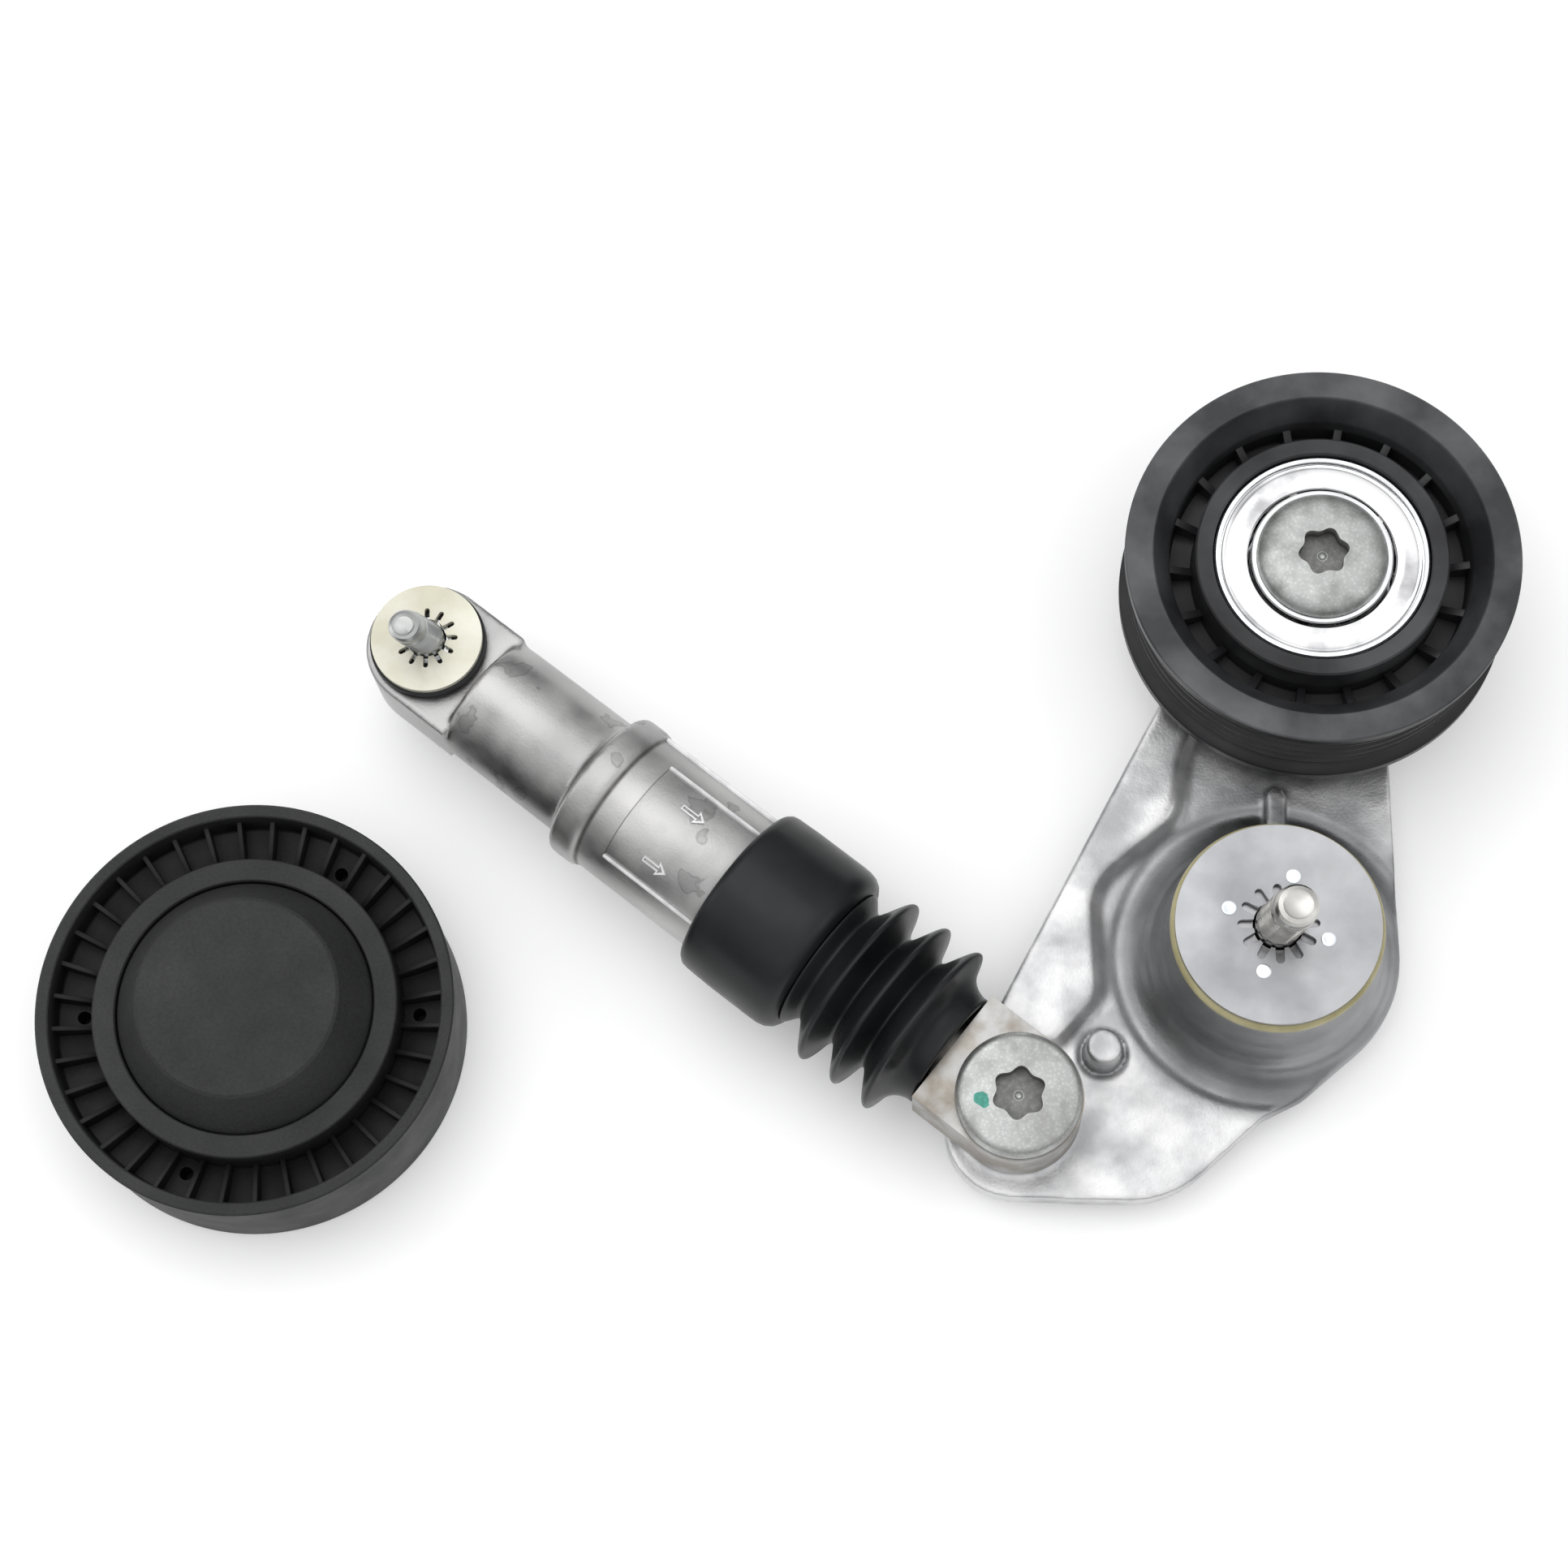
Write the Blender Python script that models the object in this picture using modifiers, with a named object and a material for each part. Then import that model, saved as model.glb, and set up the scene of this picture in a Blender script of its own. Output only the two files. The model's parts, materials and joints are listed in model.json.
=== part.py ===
"""Belt tensioner with a strut, and the loose idler pulley that belongs to it.

A cast arm turns on a pivot bolt. A ribbed pulley runs on a ball bearing at one end of the arm, and a
spring strut pushes on the other end. The loose idler lies beside the strut. Metres, +Z up; the origin
is on the ground, under the middle of the whole set.
"""

import math

import bmesh
import bpy
from mathutils import Matrix, Vector

# Axes of the turning joints, seen from above.
PULLEY_AXIS = (0.11955, 0.0484)
PIVOT_AXIS = (0.10715, -0.0328)
EYE_AXIS = (0.05145, -0.0675)
IDLER_AXIS = (-0.11655, -0.0454)

# The strut leaves the lower eye at this angle and its two eyes are this far apart.
STRUT_ANGLE = math.radians(141.3)
STRUT_LENGTH = 0.1657
STRUT_HEIGHT = 0.022

GAP = 0.0003
TURNING_GAP = 0.0006
TURN_STEPS = 32
RING_STEPS = 16
BEARING_STEPS = 24
SMALL_STEPS = 12
WELD = 0.000002

# Arm casting.
PLATE_LOW = 0.0045
PLATE_TOP = 0.0110
PLATFORM_TOP = 0.0137
DISH_RADIUS = 0.0352
DISH_FLOOR = 0.0100
THREAD_BORE = 0.0053
BOLT_SHANK = 0.0050
PEG_PLACE = (0.0706, -0.0542)
PEG_TOP = 0.0186
RIB_TOP = 0.0146
HOUSING_TOP = 0.0357
HUB_TOP = 0.0227
EYE_BOSS_TOP = 0.0140
PIVOT_BORE = 0.0133
PULLEY_END_RADIUS = 0.0200

# Tension pulley: outer radius, number and pitch of the grooves, heights of its rims and of its bearing.
PULLEY_RADIUS = 0.0430
PULLEY_LOW = 0.0200
PULLEY_TOP = 0.0470
RIM_DEPTH = 0.0028
GROOVES = 6
GROOVE_PITCH = (PULLEY_TOP - PULLEY_LOW - 2 * RIM_DEPTH) / GROOVES
CREST_RADIUS = 0.0412
VALLEY_RADIUS = 0.0382
PULLEY_RIBS = 18
WEB_TOP = 0.0336
BEARING_LOW = 0.0330
BEARING_TOP = 0.0450

# Ball bearings: outer radius, bore radius, lower and upper face, pitch radius, ball radius, balls.
TENSION_BEARING = (0.0235, 0.0125, BEARING_LOW, BEARING_TOP, 0.0182, 0.0031, 10)
IDLER_BEARING = (0.0200, 0.0085, 0.0060, 0.0180, 0.0143, 0.0030, 8)
CAGE_HALF = 0.0008

# Loose idler.
IDLER_RADIUS = 0.0460
IDLER_TOP = 0.0260
IDLER_RIBS = 36
CAP_TOP = 0.0350

# Strut, as distances along its axis from the lower eye.
BLOCK_END = 0.0179
BLOCK_LOW = 0.0143
BLOCK_TOP = 0.0290
BLOCK_HALF_WIDTH = 0.0140
BOOT_START = 0.0183
BOOT_END = 0.0520
CUFF_END = 0.0780
CUFF_RADIUS = 0.0207
BOOT_CRESTS = (0.0438, 0.0350, 0.0264)
BOOT_CREST = 0.0210
BOOT_VALLEY = 0.0144
BOOT_WALL = 0.0013
SPRING_TURNS = 9
SPRING_RADIUS = 0.0116
SPRING_WIRE = 0.0010
SPRING_ENDS = (0.0278, 0.1124)
EAR_LOW = 0.0140
EAR_TOP = 0.0300
EAR_RADIUS = 0.0142
EYE_BORE = 0.0073


def clear_scene():
    for old in list(bpy.data.objects):
        bpy.data.objects.remove(old, do_unlink=True)


def collection(name):
    made = bpy.data.collections.new(name)
    bpy.context.scene.collection.children.link(made)
    return made


def material(name, colour, roughness, metallic):
    made = bpy.data.materials.new(name)
    made.use_nodes = True
    shader = made.node_tree.nodes["Principled BSDF"]
    shader.inputs["Base Color"].default_value = (*colour, 1.0)
    shader.inputs["Roughness"].default_value = roughness
    shader.inputs["Metallic"].default_value = metallic
    made.diffuse_color = (*colour, 1.0)
    return made


clear_scene()
PARTS = collection("belt_tensioner_idler")
CUTTERS = collection("cutters")

CAST_ALUMINIUM = material("cast_aluminium", (0.60, 0.61, 0.62), 0.38, 1.0)
BRIGHT_STEEL = material("bright_steel", (0.78, 0.79, 0.80), 0.18, 1.0)
ZINC_FLAKE = material("zinc_flake", (0.62, 0.64, 0.62), 0.45, 1.0)
PALE_ZINC = material("pale_zinc", (0.78, 0.76, 0.66), 0.32, 1.0)
BLACK_RUBBER = material("black_rubber", (0.020, 0.022, 0.024), 0.42, 0.0)
PULLEY_PLASTIC = material("pulley_plastic", (0.045, 0.047, 0.050), 0.45, 0.0)
IDLER_PLASTIC = material("idler_plastic", (0.030, 0.031, 0.033), 0.60, 0.0)
CREAM_NYLON = material("cream_nylon", (0.74, 0.68, 0.44), 0.50, 0.0)
SPRING_STEEL = material("spring_steel", (0.30, 0.31, 0.32), 0.35, 1.0)


def finish_mesh(obj, mesh, surface):
    """Weld the mesh, face it outwards, shade it smooth and give it its material."""
    work = bmesh.new()
    work.from_mesh(mesh)
    bmesh.ops.remove_doubles(work, verts=work.verts, dist=WELD)
    bmesh.ops.dissolve_degenerate(work, edges=work.edges, dist=WELD)
    bmesh.ops.recalc_face_normals(work, faces=work.faces)
    work.to_mesh(mesh)
    work.free()
    mesh.materials.clear()
    mesh.materials.append(surface)
    mesh.shade_smooth()
    mesh.set_sharp_from_angle(angle=math.radians(30))
    obj.data = mesh


def evaluated_mesh(obj):
    bpy.context.view_layer.update()
    graph = bpy.context.evaluated_depsgraph_get()
    return bpy.data.meshes.new_from_object(obj.evaluated_get(graph))


def turned(name, profile, surface, steps=TURN_STEPS):
    """Turn (radius, height) points about Z: a solid if the profile starts on the axis, or else a ring."""
    count = len(profile)
    edges = [(i, i + 1) for i in range(count - 1)]
    if profile[0][0] > 0:
        edges.append((count - 1, 0))
    mesh = bpy.data.meshes.new(name)
    mesh.from_pydata([(radius, 0, height) for radius, height in profile], edges, [])
    obj = bpy.data.objects.new(name, mesh)
    PARTS.objects.link(obj)
    screw = obj.modifiers.new("turn", "SCREW")
    screw.steps = steps
    screw.render_steps = steps
    screw.use_merge_vertices = True
    screw.merge_threshold = WELD
    baked = evaluated_mesh(obj)
    obj.modifiers.clear()
    finish_mesh(obj, baked, surface)
    return obj


def prism(name, loops, low, high, surface):
    """A flat outline, with any holes as further loops, given thickness from low to high."""
    curve = bpy.data.curves.new(name, "CURVE")
    curve.dimensions = "2D"
    curve.fill_mode = "BOTH"
    curve.extrude = (high - low) / 2
    for loop in loops:
        spline = curve.splines.new("POLY")
        spline.points.add(len(loop) - 1)
        for point, (x, y) in zip(spline.points, loop):
            point.co = (x, y, 0, 1)
        spline.use_cyclic_u = True
    return solid_from_curve(name, curve, Vector((0, 0, (low + high) / 2)), surface)


def solid_from_curve(name, curve, shift, surface):
    """Turn a filled or bevelled curve into a closed mesh and move it by shift."""
    guide = bpy.data.objects.new(name + "_curve", curve)
    PARTS.objects.link(guide)
    mesh = evaluated_mesh(guide)
    mesh.transform(Matrix.Translation(shift))
    bpy.data.objects.remove(guide, do_unlink=True)
    obj = bpy.data.objects.new(name, mesh)
    PARTS.objects.link(obj)
    finish_mesh(obj, mesh, surface)
    return obj


def many(name, matrices, make, surface):
    """Copies of one small shape in a single tool object, for a Boolean."""
    work = bmesh.new()
    for matrix in matrices:
        make(work, matrix)
    mesh = bpy.data.meshes.new(name)
    work.to_mesh(mesh)
    work.free()
    obj = bpy.data.objects.new(name, mesh)
    PARTS.objects.link(obj)
    finish_mesh(obj, mesh, surface)
    return obj


def boolean(target, tool, operation):
    """Join or cut target with tool, weld the seam and drop the tool."""
    PARTS.objects.unlink(tool)
    CUTTERS.objects.link(tool)
    tool.hide_render = True
    tool.display_type = "WIRE"
    step = target.modifiers.new(tool.name, "BOOLEAN")
    step.operation = operation
    step.object = tool
    baked = evaluated_mesh(target)
    target.modifiers.clear()
    finish_mesh(target, baked, target.data.materials[0])
    bpy.data.objects.remove(tool, do_unlink=True)


def rounded(corners, steps=6):
    """A loop through (x, y, radius) corners, each corner replaced by an arc of its radius."""
    loop = []
    count = len(corners)
    for i, (x, y, radius) in enumerate(corners):
        here = Vector((x, y))
        if radius == 0:
            loop.append((x, y))
            continue
        before = (Vector(corners[i - 1][:2]) - here).normalized()
        after = (Vector(corners[(i + 1) % count][:2]) - here).normalized()
        half = before.angle(after) / 2
        centre = here + (before + after).normalized() * radius / math.sin(half)
        start = here + before * radius / math.tan(half) - centre
        end = here + after * radius / math.tan(half) - centre
        sweep = start.angle_signed(end)
        for k in range(steps + 1):
            turn = Matrix.Rotation(-sweep * k / steps, 2)
            loop.append(tuple(centre + turn @ start))
    return loop


def circle(radius, steps, x=0.0, y=0.0):
    angles = [2 * math.pi * k / steps for k in range(steps)]
    return [(x + radius * math.cos(a), y + radius * math.sin(a)) for a in angles]


def star(hole, reach, slots, half_width):
    """A round hole with narrow slots running outwards from it."""
    loop = []
    for k in range(slots):
        middle = 2 * math.pi * k / slots
        near = math.asin(half_width / hole)
        far = math.asin(half_width / reach)
        loop += [
            (hole * math.cos(middle - near), hole * math.sin(middle - near)),
            (reach * math.cos(middle - far), reach * math.sin(middle - far)),
            (reach * math.cos(middle + far), reach * math.sin(middle + far)),
            (hole * math.cos(middle + near), hole * math.sin(middle + near)),
        ]
    return loop


def tongue(start, eye, half_width, steps=16):
    """A strap along X that is square at start and round about the eye."""
    side = math.copysign(1, eye - start)
    loop = [(start, -half_width), (start, half_width)]
    for k in range(steps + 1):
        angle = math.pi / 2 - math.pi * k / steps
        loop.append((eye + side * half_width * math.cos(angle), half_width * math.sin(angle)))
    return loop


def stand(obj, axis):
    """Put an upright piece on its axis."""
    obj.location = (axis[0], axis[1], 0)
    return obj


def on_strut(obj):
    """Lay a piece turned about Z along the strut, its zero at the lower eye."""
    along = Vector((math.cos(STRUT_ANGLE), math.sin(STRUT_ANGLE), 0))
    up = Vector((0, 0, 1))
    across = up.cross(along)
    turn = Matrix((across, up, along)).transposed().to_4x4()
    obj.matrix_world = Matrix.Translation((*EYE_AXIS, STRUT_HEIGHT)) @ turn
    return obj


def beside_eye(obj):
    """Turn an upright piece at the lower eye so that its +X points along the strut."""
    obj.location = (*EYE_AXIS, 0)
    obj.rotation_euler = (0, 0, STRUT_ANGLE)
    return obj


def tube(name, outer, inner, low, high, surface, steps=RING_STEPS):
    return turned(name, [(outer, high), (outer, low), (inner, low), (inner, high)], surface, steps)


def rod(name, radius, low, high, surface, steps=SMALL_STEPS):
    return turned(name, [(0, high), (radius, high), (radius, low), (0, low)], surface, steps)


def around(count, radius, size, height):
    """Matrices of count blocks standing on a circle, each size long, wide and high, around height."""
    spots = []
    for k in range(count):
        spin = Matrix.Rotation(2 * math.pi * k / count, 4, "Z")
        spots.append(spin @ Matrix.Translation((radius, 0, height)) @ Matrix.Diagonal((*size, 1)))
    return spots


def block(work, matrix):
    bmesh.ops.create_cube(work, size=1, matrix=matrix)


def ball(work, matrix):
    bmesh.ops.create_uvsphere(work, u_segments=6, v_segments=5, radius=1, matrix=matrix)


def arm_plate():
    """The arm's flat web: straight left edge, round lower corner, round right side."""
    corners = [
        (0.0261, -0.0850, 0.0150),
        (0.0840, -0.0873, 0.0240),
        (0.1045, -0.0705, 0.0060),
        (0.13635, -0.0479, 0.0290),
        (0.13660, 0.0484, 0),
        (0.10130, 0.0550, 0),
    ]
    plate = prism("arm_casting", [rounded(corners)], PLATE_LOW, PLATE_TOP, CAST_ALUMINIUM)
    edge = plate.modifiers.new("edge", "BEVEL")
    edge.width = 0.0006
    edge.segments = 1
    edge.limit_method = "ANGLE"
    return plate


def arm_platform():
    """The raised strip along the left edge, its inner wall an S."""
    corners = [
        (0.0911, 0.0350, 0.0020),
        (0.0955, 0.0240, 0.0060),
        (0.0893, 0.0120, 0.0100),
        (0.0884, -0.0030, 0.0120),
        (0.0690, -0.0185, 0.0100),
        (0.0702, -0.0420, 0.0100),
        (0.0600, -0.0525, 0.0050),
        (0.0446, -0.0525, 0.0020),
    ]
    return prism("platform", [rounded(corners, 4)], 0.0080, PLATFORM_TOP, CAST_ALUMINIUM)


def arm_casting():
    arm = arm_plate()
    boolean(arm, arm_platform(), "UNION")
    dish = stand(rod("dish", DISH_RADIUS, DISH_FLOOR, 0.03, CAST_ALUMINIUM, TURN_STEPS), PIVOT_AXIS)
    boolean(arm, dish, "DIFFERENCE")
    housing_profile = [
        (0, HOUSING_TOP), (0.0216, HOUSING_TOP), (0.0226, HOUSING_TOP - 0.0010), (0.0231, 0.0300),
        (0.0240, 0.0230),
        (0.0256, 0.0170), (0.0282, 0.0118), (0.0282, 0.0010), (0.0272, 0), (0, 0),
    ]
    housing = turned("pivot_housing", housing_profile, CAST_ALUMINIUM)
    boolean(arm, stand(housing, PIVOT_AXIS), "UNION")
    end_profile = [
        (0, HUB_TOP), (0.0150, HUB_TOP), (0.0160, HUB_TOP - 0.0010), (0.0164, 0.0120),
        (PULLEY_END_RADIUS, 0.0108),
        (PULLEY_END_RADIUS, 0.0048), (0.0125, 0.0040), (0.0125, 0), (0, 0),
    ]
    boolean(arm, stand(turned("pulley_end", end_profile, CAST_ALUMINIUM), PULLEY_AXIS), "UNION")
    eye_profile = [
        (0, EYE_BOSS_TOP), (0.0130, EYE_BOSS_TOP), (0.0130, 0.0040), (0.0120, 0.0030), (0.0120, 0), (0, 0),
    ]
    boolean(arm, stand(turned("eye_end", eye_profile, CAST_ALUMINIUM, RING_STEPS), EYE_AXIS), "UNION")
    peg_profile = [
        (0, PEG_TOP), (0.0030, PEG_TOP), (0.0036, PEG_TOP - 0.0006), (0.0040, PLATE_TOP + 0.0002),
        (0.0052, DISH_FLOOR), (0, 0.0080),
    ]
    boolean(arm, stand(turned("peg", peg_profile, CAST_ALUMINIUM, SMALL_STEPS), PEG_PLACE), "UNION")
    rib_corners = [
        (0.1077, -0.0120, 0), (0.1122, -0.0120, 0), (0.1131, 0.0050, 0.0020), (0.1086, 0.0050, 0.0020),
    ]
    rib = prism("rib", [rounded(rib_corners, 3)], 0.0090, RIB_TOP, CAST_ALUMINIUM)
    boolean(arm, rib, "UNION")
    bores = ((PULLEY_AXIS, THREAD_BORE), (EYE_AXIS, THREAD_BORE), (PIVOT_AXIS, PIVOT_BORE))
    for number, (axis, radius) in enumerate(bores):
        bore = rod(f"arm_bore_{number}", radius, -0.002, 0.04, CAST_ALUMINIUM, RING_STEPS)
        boolean(arm, stand(bore, axis), "DIFFERENCE")
    return arm


def pivot_pieces():
    """Nylon bush pressed in the arm; bolt, sleeve and star washer that stay with the engine."""
    bush_profile = [
        (0.0226, 0.0379), (0.0226, 0.0360), (0.0130, 0.0360), (0.0130, 0.0094), (0.0093, 0.0094),
        (0.0093, 0.0379),
    ]
    stand(turned("pivot_bushing", bush_profile, CREAM_NYLON), PIVOT_AXIS)
    stand(tube("pivot_sleeve", 0.0090, THREAD_BORE, 0.0090, 0.0379, BRIGHT_STEEL), PIVOT_AXIS)
    washer_loops = [circle(0.0218, TURN_STEPS), star(0.0054, 0.0085, 12, 0.0009)]
    stand(prism("pivot_washer", washer_loops, 0.0382, 0.0397, CAST_ALUMINIUM), PIVOT_AXIS)
    bolt_profile = [
        (0, 0.0575), (0.0038, 0.0575), (BOLT_SHANK, 0.0563), (BOLT_SHANK, 0.0087),
        (0.0108, 0.0087), (0.0112, 0.0070),
        (0.0088, 0.0060), (0.0084, 0.0012), (0.0050, 0.0012), (0.0050, 0.0050), (0, 0.0050),
    ]
    stand(turned("pivot_bolt", bolt_profile, ZINC_FLAKE, RING_STEPS), PIVOT_AXIS)


def groove_points():
    """The six grooves of the belt track, from the upper rim down."""
    points = []
    for k in range(GROOVES):
        top = PULLEY_TOP - RIM_DEPTH - k * GROOVE_PITCH
        points += [(CREST_RADIUS, top), (VALLEY_RADIUS, top - GROOVE_PITCH / 2)]
    points.append((CREST_RADIUS, PULLEY_LOW + RIM_DEPTH))
    return points


def ribbed_pulley():
    profile = [(PULLEY_RADIUS, PULLEY_TOP), (PULLEY_RADIUS, PULLEY_TOP - RIM_DEPTH)]
    profile += groove_points()
    profile += [(PULLEY_RADIUS, PULLEY_LOW + RIM_DEPTH), (PULLEY_RADIUS, PULLEY_LOW), (0.0345, PULLEY_LOW)]
    profile += [(0.0335, 0.0212), (0.0330, 0.0300), (0.0275, 0.0300), (0.0270, 0.0270), (0.0215, 0.0270)]
    profile += [(0.0215, 0.0327), (0.0238, 0.0327), (0.0238, 0.0458), (0.0275, 0.0458), (0.0278, WEB_TOP)]
    profile += [(0.0328, WEB_TOP), (0.0330, 0.0420), (0.0366, 0.0462), (0.0368, PULLEY_TOP)]
    pulley = stand(turned("ribbed_pulley", profile, PULLEY_PLASTIC), PULLEY_AXIS)
    spots = around(PULLEY_RIBS, 0.0303, (0.0062, 0.0014, 0.0062), WEB_TOP + 0.0022)
    boolean(pulley, stand(many("pulley_ribs", spots, block, PULLEY_PLASTIC), PULLEY_AXIS), "UNION")


def ball_bearing(prefix, axis, sizes, shield_surface):
    """Rings with raceways, a cage that holds its balls, and a shield or seal on each side."""
    outer, bore, low, high, pitch, ball_radius, balls = sizes
    middle = (low + high) / 2
    race = 0.0010
    edge = 0.0026
    outer_shoulder = outer - 0.0030
    outer_race = pitch + ball_radius + TURNING_GAP
    seat = outer - 0.0013
    recess = 0.0014
    outer_profile = [
        (outer, high), (outer, low), (seat, low), (seat, low + recess), (outer_shoulder, low + recess),
        (outer_shoulder, middle - edge), (outer_race, middle - race), (outer_race, middle + race),
        (outer_shoulder, middle + edge), (outer_shoulder, high - recess), (seat, high - recess),
        (seat, high),
    ]
    stand(turned(prefix + "_bearing_outer", outer_profile, BRIGHT_STEEL, BEARING_STEPS), axis)
    inner_shoulder = pitch - 0.0027
    inner_race = pitch - ball_radius - TURNING_GAP
    inner_profile = [
        (inner_shoulder, high), (inner_shoulder, middle + edge), (inner_race, middle + race),
        (inner_race, middle - race), (inner_shoulder, middle - edge), (inner_shoulder, low),
        (bore, low), (bore, high),
    ]
    stand(turned(prefix + "_bearing_inner", inner_profile, BRIGHT_STEEL, BEARING_STEPS), axis)
    name = prefix + "_bearing_cage"
    half = CAGE_HALF
    cage = tube(name, pitch + half, pitch - half, middle - half, middle + half, BRIGHT_STEEL)
    size = (ball_radius, ball_radius, ball_radius)
    balls_tool = many(prefix + "_balls", around(balls, pitch, size, middle), ball, BRIGHT_STEEL)
    boolean(stand(cage, axis), stand(balls_tool, axis), "UNION")
    thickness = 0.0008
    for side, start in (("upper", high - recess + GAP), ("lower", low + recess - GAP - thickness)):
        name = f"{prefix}_shield_{side}"
        inner = inner_shoulder + TURNING_GAP
        stand(tube(name, seat - GAP, inner, start, start + thickness, shield_surface), axis)


def tension_pulley_pieces():
    """Pulley, its bearing, the spacer under the inner ring and the bolt that clamps it."""
    ribbed_pulley()
    ball_bearing("tension", PULLEY_AXIS, TENSION_BEARING, BRIGHT_STEEL)
    stand(tube("pulley_spacer", 0.0150, THREAD_BORE, 0.0230, 0.0327, ZINC_FLAKE), PULLEY_AXIS)
    bolt_profile = [
        (0, 0.0448), (0.0050, 0.0448), (0.0056, 0.0486), (0.0105, 0.0484), (0.0132, 0.0473),
        (0.0143, 0.0461),
        (0.0143, 0.0453), (0.0122, 0.0453), (0.0122, BEARING_LOW), (BOLT_SHANK, BEARING_LOW),
        (BOLT_SHANK, 0.0020),
        (0, 0.0020),
    ]
    stand(turned("pulley_bolt", bolt_profile, ZINC_FLAKE, RING_STEPS), PULLEY_AXIS)


def lower_eye_pieces():
    """Block with its eye, bush in the eye, bolt through it into the arm."""
    outline = tongue(BLOCK_END, 0, BLOCK_HALF_WIDTH)
    eye = beside_eye(prism("lower_eye_block", [outline], BLOCK_LOW, BLOCK_TOP, CAST_ALUMINIUM))
    neck = on_strut(rod("rod_neck", 0.0066, 0.0140, 0.0236, CAST_ALUMINIUM))
    boolean(eye, neck, "UNION")
    socket = on_strut(rod("rod_socket", THREAD_BORE, 0.0156, 0.0300, CAST_ALUMINIUM))
    boolean(eye, socket, "DIFFERENCE")
    eye_bore = stand(rod("eye_bore", EYE_BORE, 0, 0.04, CAST_ALUMINIUM, RING_STEPS), EYE_AXIS)
    boolean(eye, eye_bore, "DIFFERENCE")
    stand(tube("eye_bush", 0.0070, THREAD_BORE, BLOCK_LOW + GAP, BLOCK_TOP - GAP, SPRING_STEEL), EYE_AXIS)
    bolt_profile = [
        (0, 0.0300), (0.0052, 0.0300), (0.0058, 0.0330), (0.0126, 0.0330), (0.0136, 0.0321),
        (0.0136, 0.0293),
        (BOLT_SHANK, 0.0293), (BOLT_SHANK, 0.0020), (0, 0.0020),
    ]
    stand(turned("eye_bolt", bolt_profile, ZINC_FLAKE, RING_STEPS), EYE_AXIS)


def strut_spring():
    """Coil spring around the pressure tube, from the rod's seat to the cylinder's floor."""
    per_turn = 8
    start, end = SPRING_ENDS
    curve = bpy.data.curves.new("strut_spring", "CURVE")
    curve.dimensions = "3D"
    curve.bevel_depth = SPRING_WIRE
    curve.bevel_resolution = 1
    curve.use_fill_caps = True
    spline = curve.splines.new("POLY")
    count = SPRING_TURNS * per_turn + 1
    spline.points.add(count - 1)
    for k, point in enumerate(spline.points):
        angle = 2 * math.pi * k / per_turn
        height = start + (end - start) * k / (count - 1)
        point.co = (SPRING_RADIUS * math.cos(angle), SPRING_RADIUS * math.sin(angle), height, 1)
    on_strut(solid_from_curve("strut_spring", curve, Vector((0, 0, 0)), SPRING_STEEL))


def rod_side_pieces():
    """Piston rod with its piston, and the seat that the spring bears on."""
    rod_profile = [
        (0, 0.0940), (0.0072, 0.0940), (0.0077, 0.0935), (0.0077, 0.0885), (0.0072, 0.0880),
        (0.0046, 0.0880),
        (0.0046, 0.0268), (0.0050, 0.0264), (0.0050, 0.0160), (0, 0.0160),
    ]
    on_strut(turned("piston_rod", rod_profile, BRIGHT_STEEL, SMALL_STEPS))
    on_strut(tube("spring_seat", 0.0130, THREAD_BORE, 0.0239, 0.0264, ZINC_FLAKE))
    strut_spring()


def bellows_boot():
    """Rubber bellows: a skirt on the eye block, three crests, and a collar at the cuff."""
    outer = [(0.0170, BOOT_END), (BOOT_VALLEY, 0.0487)]
    for crest in BOOT_CRESTS:
        outer += [(BOOT_CREST, crest + 0.0003), (BOOT_CREST, crest - 0.0003), (BOOT_VALLEY, crest - 0.0040)]
    outer.append((0.0128, BOOT_START))
    inner = [(radius - BOOT_WALL, height) for radius, height in reversed(outer)]
    on_strut(turned("boot_bellows", outer + inner, BLACK_RUBBER, RING_STEPS))


def cylinder_pieces():
    """Cylinder casting with its ear, pressure tube, rod guide and the boot's cuff."""
    body_profile = [
        (0, 0.1504), (0.0136, 0.1504), (0.0146, 0.1490), (0.0148, 0.1185), (0.0174, 0.1172),
        (0.0180, 0.1160),
        (0.0180, 0.1110), (0.0170, 0.1098), (0.0170, 0.0548), (0, 0.0548),
    ]
    body = on_strut(turned("cylinder_housing", body_profile, CAST_ALUMINIUM))
    ear_outline = tongue(0.1440, STRUT_LENGTH, EAR_RADIUS)
    boolean(body, beside_eye(prism("ear", [ear_outline], EAR_LOW, EAR_TOP, CAST_ALUMINIUM)), "UNION")
    spring_bore = rod("spring_bore", 0.0140, 0.0500, 0.1140, CAST_ALUMINIUM, RING_STEPS)
    boolean(body, on_strut(spring_bore), "DIFFERENCE")
    ear_bore = rod("ear_bore", EYE_BORE, 0, 0.05, CAST_ALUMINIUM, RING_STEPS)
    boolean(body, stand(ear_bore, top_axis()), "DIFFERENCE")
    on_strut(tube("pressure_tube", 0.0097, 0.0082, 0.0420, 0.1136, BRIGHT_STEEL))
    on_strut(tube("rod_guide", 0.0079, 0.0049, 0.0424, 0.0480, BLACK_RUBBER, SMALL_STEPS))
    cuff_profile = [
        (0.0196, CUFF_END), (0.0204, 0.0770), (CUFF_RADIUS, 0.0550), (0.0193, 0.0526), (0.0148, 0.0523),
        (0.0148, 0.0544), (0.0173, 0.0544), (0.0173, CUFF_END),
    ]
    on_strut(turned("boot_cuff", cuff_profile, BLACK_RUBBER))


def top_axis():
    return (
        EYE_AXIS[0] + STRUT_LENGTH * math.cos(STRUT_ANGLE),
        EYE_AXIS[1] + STRUT_LENGTH * math.sin(STRUT_ANGLE),
    )


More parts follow.
